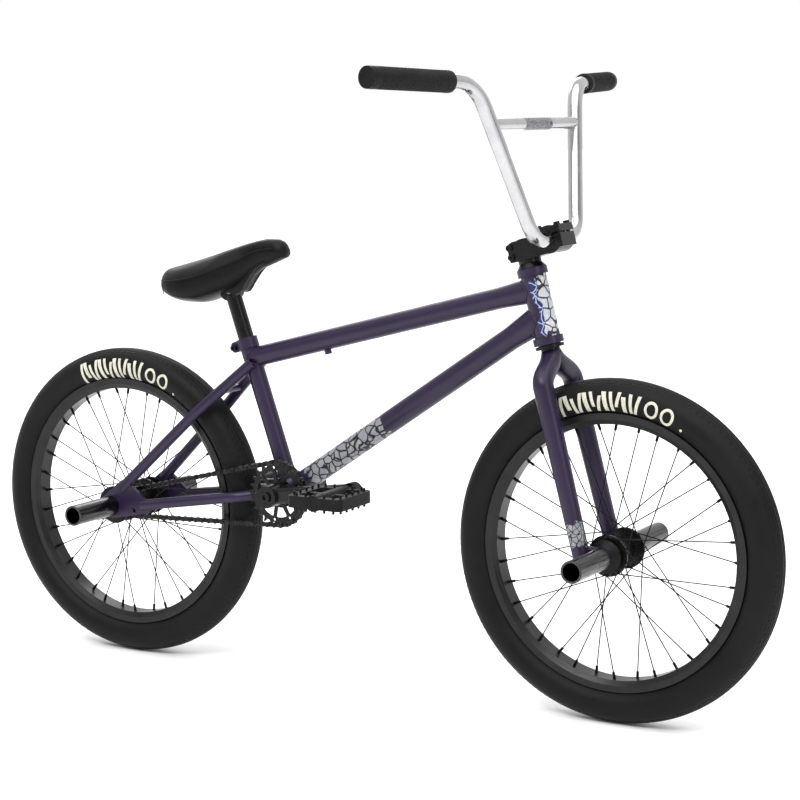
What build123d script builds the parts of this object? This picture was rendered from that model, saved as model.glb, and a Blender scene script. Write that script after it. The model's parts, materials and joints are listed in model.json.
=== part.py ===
"""BMX bike: 20 inch wheels, brakeless, four pegs.  Millimetres, +X forward, +Y left, +Z up.

The origin lies on the ground, midway between the two wheel contact points.
"""
import os
from math import asin, atan2, cos, degrees, pi, radians, sin, sqrt, tan

from build123d import *

# ---------------------------------------------------------------- overall layout
wheelbase = 886.0
tyre_radius = 257.0
bottom_bracket_height = 301.0
seat_tube_angle = 71.1
head_angle = 75.2
fork_offset = 30.0
head_tube_bottom_height = 557.5

# ---------------------------------------------------------------- fits
press_gap = 0.02          # parts of one body that are pressed or screwed together
running_gap = 0.05        # a shaft turning in its bearing, radially
sliding_gap = 0.03        # seat post in its tube, radially
side_gap = 0.5            # between faces that pass each other

# ---------------------------------------------------------------- frame tubes
top_tube_radius = 15.9
top_tube_wall = 1.2
down_tube_radius = 17.45
down_tube_wall = 1.2
seat_tube_radius = 14.3
seat_tube_length = 253.5
top_tube_on_seat_tube = 221.0      # from the bottom bracket, along the seat tube
top_tube_on_head_tube = 82.5       # from the head tube's lower end, along its axis
down_tube_on_head_tube = 41.5
tube_flare_length = 42.0           # the two main tubes grow taller just behind the head tube
top_tube_flare = 3.5
down_tube_flare = 4.5
head_tube_length = 114.3
head_tube_radius = 19.0
head_tube_collar_radius = 22.6
head_tube_collar_height = 11.0
head_bearing_radius = 20.5
head_bearing_height = 7.0
stay_radius = 8.75
stay_wall = 1.5
chain_stay_bends = ((-50.0, 23.0), (-78.0, 42.0))    # X from the bottom bracket, half spacing
chain_stay_bend_radius = 34.0
chain_stay_root = 19.0             # half spacing at the bottom bracket shell
chain_stay_end = (62.0, 6.0, 58.0)                   # from the rear axle: X, Z, half spacing
seat_stay_top = (209.0, 16.5)      # along the seat tube from the bottom bracket, half spacing
seat_stay_bend = (162.0, 162.0, 42.5)                # from the rear axle: X, Z, half spacing
seat_stay_end = (22.0, 31.0, 58.0)
seat_stay_bend_radius = 120.0
bridge_radius = 5.5
bridge_share = 0.525               # place of the bridge between the stays' tops and their bends
dropout_thickness = 6.0
rear_axle_spacing = 110.0
front_axle_spacing = 100.0
rear_dropout_radius = 21.0
dropout_window_radius = 5.0
cable_boss_radius = 5.5
cable_boss_height = 6.5
cable_boss_place = 0.275           # share of the top tube's length, from the seat tube
cable_boss_bore = 2.1

# ---------------------------------------------------------------- seat clamp and seat post
seat_collar_radius = 17.2
seat_collar_height = 17.0
seat_slot_width = 3.0
seat_slot_length = 34.0
clamp_ear_reach = 27.5             # from the seat tube's axis to the back of the ears
clamp_ear_thickness = 6.5
clamp_bolt_radius = 2.5
clamp_bolt_head_radius = 5.0
clamp_bolt_drop = 9.0              # below the seat tube's top
clamp_bolt_reach = 22.0
seat_post_radius = 12.7
seat_post_wall = 2.2
seat_post_bottom = 150.0           # along the seat tube from the bottom bracket
seat_pivot = 335.0
seat_head_radius = 17.0
seat_head_width = 23.0
seat_bolt_radius = 4.0

# ---------------------------------------------------------------- seat
seat_base_thickness = 5.0
seat_base_inset = 5.0              # the base stays this far inside the pad's edge
seat_socket_gap = 0.3              # between the post's rounded head and the base
seat_socket_length = 44.0
seat_socket_wall = 4.0
seat_nut_radius = 6.5              # barrel nut at the pivot
seat_bolt_length = 26.0            # above the pivot
seat_tilt_room = 20.0              # degrees of slot in the post's head, either way

# ---------------------------------------------------------------- bottom bracket and cranks
bb_shell_radius = 23.5
bb_shell_width = 68.0
bb_bearing_radius = 20.6
bb_bearing_width = 11.0
bb_bearing_rim = 1.5               # how far a bearing stands out of the shell
spindle_radius = 9.5
crank_length = 165.0
crank_rise_angle = 8.5             # right arm above level, pointing forward
crank_boss_radius = 17.5
crank_washer_radius = 13.5
crank_boss_inner = 46.5            # half distance between the two arms' inner faces
crank_boss_outer = 76.0
crank_arm_height = 25.0
crank_arm_thickness = 15.0
crank_pedal_boss_radius = 14.5
crank_pedal_face = 90.0            # half distance between the pedal bosses' outer faces
crank_bolt_radius = 8.5
crank_bolt_head = 3.5

# ---------------------------------------------------------------- chain drive
chain_pitch = 12.7
chain_links = 68
chain_roller_radius = 3.9
chain_inner_width = 3.3
chain_plate_thickness = 1.0
chain_plate_height = 8.4
chain_plate_waist = 6.2
chain_pin_radius = 1.8
chain_pin_end = 0.6                # pin beyond the outer plate
chain_gap = 0.15
sprocket_teeth = 25
driver_teeth = 9
chain_line = 40.0                  # distance of the chain from the bike's middle plane
tooth_thickness = 2.7
tooth_height = 3.0                 # above the pitch circle
roller_seat_gap = 0.45
sprocket_hub_radius = 17.5
sprocket_window_inner = 20.5
sprocket_window_outer = 38.0
sprocket_windows = 9
sprocket_window_rib = 6.0
sprocket_hole_circle = 42.6
sprocket_hole_radius = 2.3

# ---------------------------------------------------------------- pedals
pedal_axle_radius = 7.0
pedal_axle_flange_radius = 9.0
pedal_axle_flange = 9.0            # between the crank and the pedal body
pedal_width = 94.0
pedal_length = 94.0
pedal_thickness = 25.0
pedal_frame_bar = 13.0
pedal_barrel_radius = 12.5
pedal_pin_radius = 1.9
pedal_pin_height = 3.2
pedal_corner_radius = 9.0
pedal_end_cap = 3.0

# ---------------------------------------------------------------- wheels
tyre_half_width = 28.5
tyre_widest_radius = 231.0
tyre_wall = 3.5
tyre_tread = 5.5
tyre_shoulder = (249.5, 20.5)
bead_radius = 203.6
rim_outer_radius = 207.5
rim_inner_radius = 190.5
rim_half_width = 19.0
rim_bed_half_width = 13.5
rim_flange_thickness = 3.0
rim_wall = 2.0
rim_well_radius = 202.5
inner_tube_radius = 20.0
inner_tube_wall = 1.5
spoke_count = 36
spoke_crossings = 3
spoke_radius = 0.9
spoke_outer_lift = 1.7            # gap between a flange and the spokes on its outer face
spoke_inner_lift = 0.3
spoke_head_radius = 1.9
spoke_head_thickness = 1.0
nipple_radius = 2.1
nipple_length = 12.0
nipple_hole_radius = 2.7
rim_hole_stagger = 4.0
flange_hole_radius = 1.25
flange_thickness = 3.2

# ---------------------------------------------------------------- hubs
front_flange_radius = 31.0
front_flange_spacing = 31.0        # from the middle plane to each flange
front_hub_shell_radius = 17.5
front_hub_half_length = 41.5
front_axle_radius = 4.75
front_bearing_radius = 13.0
front_bearing_width = 8.0
rear_flange_radius = 31.0
rear_flange_left = 32.0
rear_flange_right = -23.0
rear_hub_shell_radius = 21.0
rear_hub_left = 44.0
rear_hub_right = -29.5
rear_axle_radius = 7.0
rear_bearing_radius = 16.0
rear_bearing_width = 9.0
driver_body_radius = 13.2
driver_inner = -30.5
driver_outer = -47.5
spoke_circle_inset = 3.2           # from a flange's rim to its spoke holes
hub_guard_thickness = 2.4
front_guard_radius = 25.0
front_guard_dish = 7.5
rear_guard_radius = 31.0
rear_guard_dish = 2.0
guard_flat_radius = 14.0
spacer_radius = 10.5
peg_length = 99.0
peg_radius = 16.5
peg_wall = 3.2
peg_floor = 9.0
axle_nut_radius = 9.5
axle_nut_height = 10.0
axle_beyond_nut = 3.0
washer_thickness = 2.0

# ---------------------------------------------------------------- fork
steerer_radius = 14.3
steerer_wall = 2.2
fork_race_height = 5.0
fork_race_gap = 1.2
fork_race_radius = 21.6
fork_leg_top_radius = 15.4
fork_leg_bottom_radius = 12.8
fork_leg_wall = 2.4
fork_crown_drop = 17.0             # from the head tube's lower end to the middle of the crown
fork_crown_spread = 9.0
fork_leg_top_spacing = 50.0        # half spacing of the legs below the crown bends
fork_leg_bottom_spacing = 55.0
fork_shoulder_drop = 44.0          # further down, where the legs run straight
fork_leg_end = 3.0                # above the axle's level, where the legs end
fork_dropout_radius = 15.5

# ---------------------------------------------------------------- headset and stem
headset_cover_height = 8.4
headset_cover_top_radius = 16.0
headset_spacer_height = 5.0
headset_spacer_radius = 17.0
stem_block_height = 30.0
stem_half_width = 17.5
stem_clamp_half_width = 23.0
stem_back = 23.0
stem_reach = 48.5
stem_rise = 19.5
stem_clamp_radius = 20.5
stem_slit = 2.6
stem_slit_above = 5.5              # the slit lies this far above the handlebar's middle
stem_bolt_radius = 3.0
stem_bolt_head_radius = 4.8
stem_pinch_reach = 19.0
top_bolt_radius = 12.0

# ---------------------------------------------------------------- handlebar
bar_radius = 11.1
bar_wall = 2.0
bar_clamp_gap = 0.04
bar_corner_half_width = 69.0
bar_rise = 222.0
bar_leg_back = 46.0
bar_leg_top_half_width = 159.6
bar_half_width = 373.0
bar_sweep = 43.0
bar_upsweep = 7.0
bar_bottom_bend_radius = 42.0
bar_top_bend_radius = 62.0
crossbar_radius = 9.0
crossbar_share = 0.743             # height of the crossbar as a share of the rise
grip_length = 162.0
grip_radius = 15.6
grip_gap = 0.02
bar_plug_radius = 15.0
bar_plug_thickness = 4.5
bar_plug_depth = 22.0

# ================================================================ worked-out places
LOW_END = (Align.CENTER, Align.CENTER, Align.MIN)


def place(x, z, y=0.0):
    """A point from its side-view place and its distance to the left of the middle plane."""
    return Vector(x, y, z)


def pitch_radius(teeth):
    """Radius of the circle through the chain pins on a sprocket."""
    return chain_pitch / (2 * sin(pi / teeth))


def chain_pitches(distance):
    """Number of chain pitches in a loop round both sprockets at this centre distance."""
    lean = asin((pitch_radius(sprocket_teeth) - pitch_radius(driver_teeth)) / distance)
    straight = 2 * distance * cos(lean) / chain_pitch
    return straight + sprocket_teeth * (0.5 + lean / pi) + driver_teeth * (0.5 - lean / pi)


def fitted_axle_distance(links):
    """Centre distance at which a loop of this many links runs tight."""
    distance = (links - (sprocket_teeth + driver_teeth) / 2) * chain_pitch / 2
    for _ in range(20):
        distance += (links - chain_pitches(distance)) * chain_pitch / 2
    return distance


chain_stay_length = fitted_axle_distance(chain_links)
rear_axle = place(-wheelbase / 2, tyre_radius)
front_axle = place(wheelbase / 2, tyre_radius)
bb_drop = bottom_bracket_height - tyre_radius
bb = place(rear_axle.X + sqrt(chain_stay_length**2 - bb_drop**2), bottom_bracket_height)

seat_up = Vector(-cos(radians(seat_tube_angle)), 0, sin(radians(seat_tube_angle)))
steer_up = Vector(-cos(radians(head_angle)), 0, sin(radians(head_angle)))
steer_ahead = Vector(sin(radians(head_angle)), 0, cos(radians(head_angle)))
left = Vector(0, 1, 0)
steer_foot = front_axle - steer_ahead * fork_offset


def on_steerer(height):
    """Point on the steering axis at this height above the ground."""
    return steer_foot + steer_up * ((height - steer_foot.Z) / steer_up.Z)


head_bottom = on_steerer(head_tube_bottom_height)
head_top = head_bottom + steer_up * head_tube_length
seat_tube_top = bb + seat_up * seat_tube_length
top_tube_rear = bb + seat_up * top_tube_on_seat_tube
top_tube_front = head_bottom + steer_up * top_tube_on_head_tube
down_tube_front = head_bottom + steer_up * down_tube_on_head_tube
seat_pivot_point = bb + seat_up * seat_pivot
spindle_shoulder = bb_shell_width / 2 + bb_bearing_rim + side_gap
stem_bottom = head_top + steer_up * (headset_cover_height + headset_spacer_height)
stem_top = stem_bottom + steer_up * stem_block_height
bar_centre = stem_bottom + steer_ahead * stem_reach + steer_up * stem_rise
rear_dropout_inner = rear_axle_spacing / 2
rear_dropout_outer = rear_dropout_inner + dropout_thickness
front_dropout_inner = front_axle_spacing / 2
front_dropout_outer = front_dropout_inner + dropout_thickness


# ================================================================ plain building blocks
def rod(start, end, radius):
    """Solid round bar between two points."""
    run = Vector(end) - Vector(start)
    return Plane(origin=start, z_dir=run) * Cylinder(radius, run.length, align=LOW_END)


def pipe(start, end, radius, wall):
    """Straight round tube between two points."""
    run = Vector(end) - Vector(start)
    section = Circle(radius) - Circle(radius - wall)
    return Plane(origin=start, z_dir=run) * extrude(section, run.length)


def cone(start, end, start_radius, end_radius):
    """Solid cone between two points."""
    run = Vector(end) - Vector(start)
    body = Cone(start_radius, end_radius, run.length, align=LOW_END)
    return Plane(origin=start, z_dir=run) * body


def cross_rod(centre, y_start, y_end, radius):
    """Round bar along Y through a side-view point."""
    return rod((centre.X, y_start, centre.Z), (centre.X, y_end, centre.Z), radius)


def cross_ring(centre, y_start, y_end, outer, inner):
    """Ring about an axis along Y through a side-view point."""
    low, high = min(y_start, y_end), max(y_start, y_end)
    return pipe((centre.X, low, centre.Z), (centre.X, high, centre.Z), outer, outer - inner)


def bent_pipe(points, bend_radius, radius, wall):
    """Round tube along straight runs joined by arcs."""
    path = FilletPolyline(*points, radius=bend_radius)
    start = Plane(origin=path @ 0, z_dir=path % 0)
    outside = sweep(start * Circle(radius), path=path)
    inside = sweep(start * Circle(radius - wall), path=path)
    return outside - inside


def side_plate(outline, y_start, y_end):
    """Flat plate: a side-view outline drawn as (X, Z), running from y_start to y_end."""
    plane = Plane(origin=(0, min(y_start, y_end), 0), x_dir=(1, 0, 0), z_dir=(0, -1, 0))
    return plane * extrude(outline, -abs(y_end - y_start))


def turned(profile, centre):
    """Solid of revolution about the wheel axis; the profile is (radius, distance along Y)."""
    plane = Plane(origin=centre, x_dir=(1, 0, 0), z_dir=(0, 0, 1))
    return revolve(plane * profile, axis=Axis(centre, (0, 1, 0)))


def outline_of(points):
    """Flat face inside straight edges."""
    return make_face(Polyline(*points, close=True))


def mirrored(shape):
    """The same shape on the other side of the bike."""
    return mirror(shape, about=Plane.XZ)


def both_sides(shape):
    return [shape, mirrored(shape)]


def hull_of(circles):
    """Side-view face spanned by circles given as (x, z, radius)."""
    sketch = Sketch()
    for x, z, radius in circles:
        sketch += Pos(x, z) * Circle(radius)
    return make_hull(sketch.edges())


def stem_point(ahead, up, y=0.0):
    """Point in the stem's own directions, from the middle of its lower face."""
    return stem_bottom + steer_ahead * ahead + steer_up * up + left * y


parts = {}


def keep(name, shapes):
    """Note a sub-part; a list becomes one node of separate solids."""
    if not isinstance(shapes, (list, tuple)):
        shapes = [shapes]
    solids = [solid for shape in shapes for solid in shape.solids()]
    parts[name] = Compound(children=solids) if len(solids) > 1 else solids[0]


# ================================================================ frame
def head_tube():
    """Head tube with a thicker collar at each end for the headset bearings."""
    top_collar = head_top - steer_up * head_tube_collar_height
    low_collar = head_bottom + steer_up * head_tube_collar_height
    shell = rod(head_bottom, head_top, head_tube_radius)
    shell += rod(top_collar, head_top, head_tube_collar_radius)
    shell += rod(head_bottom, low_collar, head_tube_collar_radius)
    shell -= rod(head_bottom, head_top, head_tube_radius - 2.2)
    seat = head_bearing_radius + press_gap
    shell -= rod(head_top - steer_up * head_bearing_height, head_top, seat)
    shell -= rod(head_bottom, head_bottom + steer_up * head_bearing_height, seat)
    return shell


def main_tube(start, end, radius, wall, flare):
    """Frame tube that grows taller over its last stretch before the head tube."""
    run = (end - start).normalized()
    flare_start = end - run * (tube_flare_length + head_tube_radius)
    round_part = pipe(start, flare_start, radius, wall)
    plane_start = Plane(origin=flare_start, x_dir=left, z_dir=run)
    plane_end = Plane(origin=end, x_dir=left, z_dir=run)
    outer = loft([plane_start * Circle(radius), plane_end * Ellipse(radius, radius + flare)])
    inner = loft([
        plane_start * Circle(radius - wall),
        plane_end * Ellipse(radius - wall, radius + flare - wall),
    ])
    return round_part + (outer - inner)


def top_tube():
    tube = main_tube(top_tube_rear, top_tube_front, top_tube_radius, top_tube_wall, top_tube_flare)
    tube -= rod(bb, seat_tube_top, seat_tube_radius)
    tube -= rod(head_bottom, head_top, head_tube_radius)
    return tube


def down_tube():
    tube = main_tube(bb, down_tube_front, down_tube_radius, down_tube_wall, down_tube_flare)
    tube -= rod(bb, seat_tube_top, seat_tube_radius)
    tube -= cross_rod(bb, -bb_shell_width, bb_shell_width, bb_shell_radius)
    tube -= rod(head_bottom, head_top, head_tube_radius)
    tube -= rod(head_bottom, head_bottom + steer_up * head_tube_collar_height, head_tube_collar_radius)
    return tube


def seat_tube():
    """Seat tube with its pinch clamp: a collar, two ears at the back and a slot between them."""
    bore = seat_post_radius + sliding_gap
    tube = rod(bb, seat_tube_top, seat_tube_radius)
    collar_low = seat_tube_top - seat_up * seat_collar_height
    tube += rod(collar_low, seat_tube_top, seat_collar_radius)
    back = Plane(origin=collar_low, x_dir=(-seat_up).cross(left), z_dir=seat_up)
    ear_width = seat_slot_width + 2 * clamp_ear_thickness
    ears = Pos(-clamp_ear_reach / 2, 0, seat_collar_height / 2) * Box(
        clamp_ear_reach, ear_width, seat_collar_height
    )
    ears = fillet(ears.edges().filter_by(Axis.Y).group_by(Axis.X)[0], 5.0)
    tube += back * ears
    tube -= rod(bb, seat_tube_top, bore)
    slot = Pos(-clamp_ear_reach / 2 - 1, 0, seat_slot_length / 2) * Box(
        clamp_ear_reach + 2, seat_slot_width, seat_slot_length
    )
    slot_low = seat_tube_top - seat_up * seat_slot_length
    tube -= Plane(origin=slot_low, x_dir=back.x_dir, z_dir=seat_up) * slot
    tube -= rod(clamp_bolt_point(-ear_width), clamp_bolt_point(ear_width), clamp_bolt_radius + press_gap)
    tube -= cross_rod(bb, -bb_shell_width, bb_shell_width, bb_shell_radius)
    return tube


def seat_behind():
    """Direction square to the seat tube, towards the rear wheel."""
    return left.cross(seat_up) * -1


def clamp_bolt_point(y):
    point = seat_tube_top - seat_up * clamp_bolt_drop + seat_behind() * clamp_bolt_reach
    return point + left * y


def seat_clamp_bolt():
    """Pinch bolt across the two ears, head on the right."""
    ear_face = seat_slot_width / 2 + clamp_ear_thickness
    bolt = rod(clamp_bolt_point(-ear_face), clamp_bolt_point(ear_face), clamp_bolt_radius)
    head = rod(clamp_bolt_point(-ear_face - 5.0), clamp_bolt_point(-ear_face), clamp_bolt_head_radius)
    head -= rod(clamp_bolt_point(-ear_face - 5.0), clamp_bolt_point(-ear_face - 2.0), 2.4)
    nut = rod(clamp_bolt_point(ear_face), clamp_bolt_point(ear_face + 4.0), clamp_bolt_head_radius)
    return bolt + head + nut


def bb_shell():
    half = bb_shell_width / 2
    shell = cross_ring(bb, -half, half, bb_shell_radius, bb_bearing_radius - 2.5)
    seat = bb_bearing_radius + press_gap
    shell -= cross_rod(bb, half - bb_bearing_width + bb_bearing_rim, half, seat)
    shell -= cross_rod(bb, -half, -half + bb_bearing_width - bb_bearing_rim, seat)
    return shell


def chain_stay():
    """Left chain stay; it steps outwards between the chainring and the tyre."""
    end_x, end_z, end_y = chain_stay_end
    end = rear_axle + Vector(end_x, end_y, end_z)
    run = end - bb
    slope = run.Z / run.X
    points = [bb + Vector(0, chain_stay_root, 0)]
    for x, y in chain_stay_bends:
        points.append(bb + Vector(x, y, slope * x))
    points.append(end)
    stay = bent_pipe(points, chain_stay_bend_radius, stay_radius, stay_wall)
    stay -= cross_rod(bb, -bb_shell_width, bb_shell_width, bb_shell_radius)
    stay -= rear_dropout_blank()
    return stay


def seat_stay_points():
    top_along, top_y = seat_stay_top
    top = bb + seat_up * top_along + left * top_y
    bend_x, bend_z, bend_y = seat_stay_bend
    end_x, end_z, end_y = seat_stay_end
    return [top, rear_axle + Vector(bend_x, bend_y, bend_z), rear_axle + Vector(end_x, end_y, end_z)]


def seat_stay():
    """Left seat stay, bent once so that it passes beside the tyre."""
    top, bend, end = seat_stay_points()
    inside = top + (top - bend).normalized() * stay_radius
    stay = bent_pipe([inside, bend, end], seat_stay_bend_radius, stay_radius, stay_wall)
    stay -= rod(bb, seat_tube_top, seat_tube_radius)
    stay -= top_tube_envelope()
    stay -= rear_dropout_blank()
    return stay


def top_tube_envelope():
    return rod(top_tube_rear, top_tube_front, top_tube_radius)


def stay_bridge():
    """Small tube between the seat stays, just above the tyre."""
    top, bend, _ = seat_stay_points()
    middle = top + (bend - top) * bridge_share
    tube = rod((middle.X, -middle.Y, middle.Z), (middle.X, middle.Y, middle.Z), bridge_radius)
    for side in both_sides(rod(top, bend, stay_radius)):
        tube -= side
    return tube


def rear_dropout_outline():
    axle = (rear_axle.X, rear_axle.Z, rear_dropout_radius)
    stay_x, stay_z, _ = seat_stay_end
    chain_x, chain_z, _ = chain_stay_end
    seat_lobe = (rear_axle.X + stay_x + 6, rear_axle.Z + stay_z + 6, 9.0)
    chain_lobe = (rear_axle.X + chain_x + 10, rear_axle.Z + chain_z - 4, 9.0)
    return hull_of([axle, seat_lobe, chain_lobe])


def rear_dropout_blank():
    """Both dropout plates before their slots are cut."""
    plate = side_plate(rear_dropout_outline(), rear_dropout_inner, rear_dropout_outer)
    return plate + mirrored(plate)


def rear_dropouts():
    """Plates that hold the rear axle in slots open to the back, with a round window each."""
    slot_radius = rear_axle_radius + press_gap
    reach = 2 * rear_dropout_radius
    slot = Pos(rear_axle.X, rear_axle.Z) * Circle(slot_radius)
    slot += Pos(rear_axle.X - reach / 2, rear_axle.Z) * Rectangle(reach, 2 * slot_radius)
    window = Pos(rear_axle.X + 46.0, rear_axle.Z - 5.0) * Circle(dropout_window_radius)
    outline = rear_dropout_outline() - slot - window
    return both_sides(side_plate(outline, rear_dropout_inner, rear_dropout_outer))


def cable_boss():
    """Threaded boss on the underside of the top tube."""
    run = (top_tube_front - top_tube_rear).normalized()
    down = run.cross(left)
    if down.Z > 0:
        down = down * -1
    centre = top_tube_rear + (top_tube_front - top_tube_rear) * cable_boss_place
    tip = centre + down * (top_tube_radius + cable_boss_height)
    boss = rod(centre, tip, cable_boss_radius)
    boss -= top_tube_envelope()
    boss -= rod(tip - down * (cable_boss_height - 1.5), tip, cable_boss_bore)
    return boss


# ================================================================ headset, fork and stem
def headset_bearings():
    """Upper and lower headset bearings, pressed into the head tube."""
    bore = steerer_radius + running_gap
    rings = []
    for low, high in (
        (head_top - steer_up * head_bearing_height, head_top),
        (head_bottom, head_bottom + steer_up * head_bearing_height),
    ):
        rings.append(pipe(low, high, head_bearing_radius, head_bearing_radius - bore))
    return rings


def fork_crown_centre():
    return head_bottom - steer_up * fork_crown_drop


def fork_leg_line(drop, y):
    return fork_crown_centre() - steer_up * drop + left * y


def fork_leg_low():
    """Middle of the left leg where it ends, behind the axle."""
    along = (steer_foot - fork_crown_centre()).length - fork_leg_end
    return fork_leg_line(along, fork_leg_bottom_spacing)


def fork_leg_solid(top_radius, bottom_radius):
    """Left leg: it leaves the crown sideways, bends down and tapers to the dropout."""
    shoulder = fork_leg_line(fork_shoulder_drop, fork_leg_top_spacing)
    low = fork_leg_low()
    start = fork_leg_line(-2.0, 0.0)
    knee = fork_leg_line(8.0, fork_crown_spread)
    path = Spline(
        start, knee, shoulder,
        tangents=[(left * 0.55 - steer_up * 0.85), (low - shoulder)],
        tangent_scalars=[0.7, 1.0],
    )
    bend = sweep(Plane(origin=path @ 0, z_dir=path % 0) * Circle(top_radius), path=path)
    return bend + cone(shoulder, low, top_radius, bottom_radius)


def fork_legs():
    """The two legs, joined under the crown race."""
    race_low = head_bottom - steer_up * (fork_race_gap + fork_race_height)
    leg = fork_leg_solid(fork_leg_top_radius, fork_leg_bottom_radius)
    wall = fork_leg_wall
    leg -= fork_leg_solid(fork_leg_top_radius - wall, fork_leg_bottom_radius - wall)
    above = race_low + steer_up * 60.0
    trim = rod(race_low, above, 80.0)
    leg -= trim
    leg -= rod(race_low - steer_up * 26.0, above, steerer_radius)
    leg -= front_dropout_blank()
    middle = Pos(0, 500.0, 0) * Box(2000.0, 1000.0, 2000.0)
    leg = leg & middle
    return both_sides(leg)


def front_dropout_outline():
    """Plate from the leg's end forward to the axle, with a small window."""
    low = fork_leg_low()
    rise = low + steer_up * 14.0
    return hull_of([
        (front_axle.X, front_axle.Z, fork_dropout_radius),
        (low.X, low.Z, 9.0),
        (rise.X, rise.Z, 8.0),
    ])


def front_dropout_blank():
    plate = side_plate(front_dropout_outline(), front_dropout_inner, front_dropout_outer)
    return plate + mirrored(plate)


def fork_dropouts():
    slot_radius = front_axle_radius + press_gap
    reach = 2 * fork_dropout_radius
    slot = Circle(slot_radius) + Pos(0, -reach / 2) * Rectangle(2 * slot_radius, reach)
    slot = Pos(front_axle.X, front_axle.Z) * slot
    window = Pos(front_axle.X - 17.0, front_axle.Z + 8.5) * Circle(dropout_window_radius - 1.5)
    outline = front_dropout_outline() - slot - window
    return both_sides(side_plate(outline, front_dropout_inner, front_dropout_outer))


def fork_steerer():
    """Steerer tube from the crown to the top of the stem."""
    low = head_bottom - steer_up * (fork_race_gap + fork_race_height + 26.0)
    return pipe(low, stem_top - steer_up * 3.0, steerer_radius, steerer_wall)


def fork_crown_race():
    """Ring of the fork that carries the lower bearing."""
    high = head_bottom - steer_up * fork_race_gap
    low = high - steer_up * fork_race_height
    ring = pipe(low, high, fork_race_radius, fork_race_radius - steerer_radius - press_gap)
    inner = steerer_radius + press_gap
    neck = pipe(high, head_bottom - steer_up * 0.1, inner + 3.0, 3.0)
    return ring + neck


def headset_cover():
    """Conical cover over the upper bearing."""
    low = head_top + steer_up * side_gap
    high = head_top + steer_up * headset_cover_height
    cover = cone(low, high, head_tube_collar_radius - 1.2, headset_cover_top_radius)
    return cover - rod(low, high, steerer_radius + press_gap)


def headset_spacer():
    low = head_top + steer_up * headset_cover_height
    wall = headset_spacer_radius - steerer_radius - press_gap
    return pipe(low, stem_bottom, headset_spacer_radius, wall)


def stem_plane():
    """Side plane of the stem: x ahead, y up along the steering axis."""
    return Plane(origin=stem_bottom, x_dir=steer_ahead, z_dir=left * -1)


def stem_slab(outline, half_width):
    return stem_plane() * extrude(outline, half_width, both=True)


def stem_whole():
    """Stem with its bar clamp, before the cap is parted from the body."""
    height = stem_block_height
    back = -stem_back
    block = outline_of([
        (back, 1.5), (back + 1.5, 0), (16, 0), (stem_reach - 2, stem_rise - stem_clamp_radius + 1.5),
        (stem_reach + 6, stem_rise - stem_clamp_radius + 5), (stem_reach, stem_rise + 4),
        (24, height - 4), (16, height), (back + 9, height), (back, height - 3.5),
    ])
    body = stem_slab(block, stem_half_width)
    clamp = Pos(stem_reach, stem_rise) * Circle(stem_clamp_radius)
    clamp += Pos(stem_reach, stem_rise + 2.0) * Rectangle(2 * stem_clamp_radius, 2 * stem_clamp_radius - 8)
    jaws = stem_slab(clamp, stem_clamp_half_width)
    whole = body + jaws
    whole -= rod(stem_bottom - steer_up, stem_top + steer_up, steerer_radius + press_gap)
    bore = bar_radius + bar_clamp_gap
    whole -= cross_rod(bar_centre, -60, 60, bore)
    return whole


def stem_bolt_places():
    """Cap bolts: two ahead of the bar and two behind it, as (ahead, y)."""
    reach = stem_clamp_radius - 5.5
    wide = stem_clamp_half_width - 7.0
    return [(stem_reach + dx, dy) for dx in (-reach, reach) for dy in (-wide, wide)]


def stem_body_and_cap():
    """Stem body and its top cap, parted by the slit and bored for the bolts."""
    whole = stem_whole()
    slit_low = stem_rise + stem_slit_above
    slit_high = slit_low + stem_slit
    cap_zone = Pos(stem_reach, slit_high + 30) * Rectangle(2 * stem_clamp_radius + 0.2, 60)
    slit_zone = Pos(stem_reach, slit_low + 30) * Rectangle(2 * stem_clamp_radius + 0.2, 60)
    cap = whole & stem_slab(cap_zone, 60)
    body = whole - stem_slab(slit_zone, 60)
    for ahead, y in stem_bolt_places():
        shank = rod(stem_point(ahead, stem_rise - 14, y), stem_point(ahead, 80, y), stem_bolt_radius + press_gap)
        cap -= shank
        body -= shank
    pinch = Pos(-stem_back / 2 - 4, stem_block_height / 2) * Rectangle(stem_back, stem_block_height + 20)
    body -= stem_plane() * extrude(pinch, 1.2, both=True)
    for up in (8.0, stem_block_height - 8.0):
        hole = rod(
            stem_point(-stem_pinch_reach, up, -30), stem_point(-stem_pinch_reach, up, 30),
            stem_bolt_radius + press_gap,
        )
        body -= hole
    return body, max(cap.solids(), key=lambda solid: solid.volume)


def stem_bolts():
    """Four cap bolts from above and two pinch bolts across the back."""
    bolts = []
    top = stem_rise + stem_clamp_radius - 2.0
    for ahead, y in stem_bolt_places():
        shank = rod(stem_point(ahead, stem_rise - 13, y), stem_point(ahead, top, y), stem_bolt_radius)
        head = rod(stem_point(ahead, top, y), stem_point(ahead, top + 4.0, y), stem_bolt_head_radius)
        socket = rod(stem_point(ahead, top + 1.5, y), stem_point(ahead, top + 4.0, y), 2.4)
        bolts.append(shank + head - socket)
    face = stem_half_width
    for up in (8.0, stem_block_height - 8.0):
        back = -stem_pinch_reach
        shank = rod(stem_point(back, up, -face), stem_point(back, up, face), stem_bolt_radius)
        head = rod(stem_point(back, up, -face - 3.5), stem_point(back, up, -face), stem_bolt_head_radius)
        socket = rod(stem_point(back, up, -face - 3.5), stem_point(back, up, -face - 1.2), 2.2)
        bolts.append(shank + head - socket)
    return bolts


def steerer_top_bolt():
    """Flat-headed bolt that preloads the headset."""
    inner = steerer_radius - steerer_wall - press_gap
    head = rod(stem_point(0, stem_block_height - 3.0), stem_point(0, stem_block_height + 1.5), top_bolt_radius)
    shank = rod(stem_point(0, stem_block_height - 32.0), stem_point(0, stem_block_height - 3.0), inner)
    socket = rod(stem_point(0, stem_block_height - 4.0), stem_point(0, stem_block_height + 1.5), 4.0)
    return head + shank - socket


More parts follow.
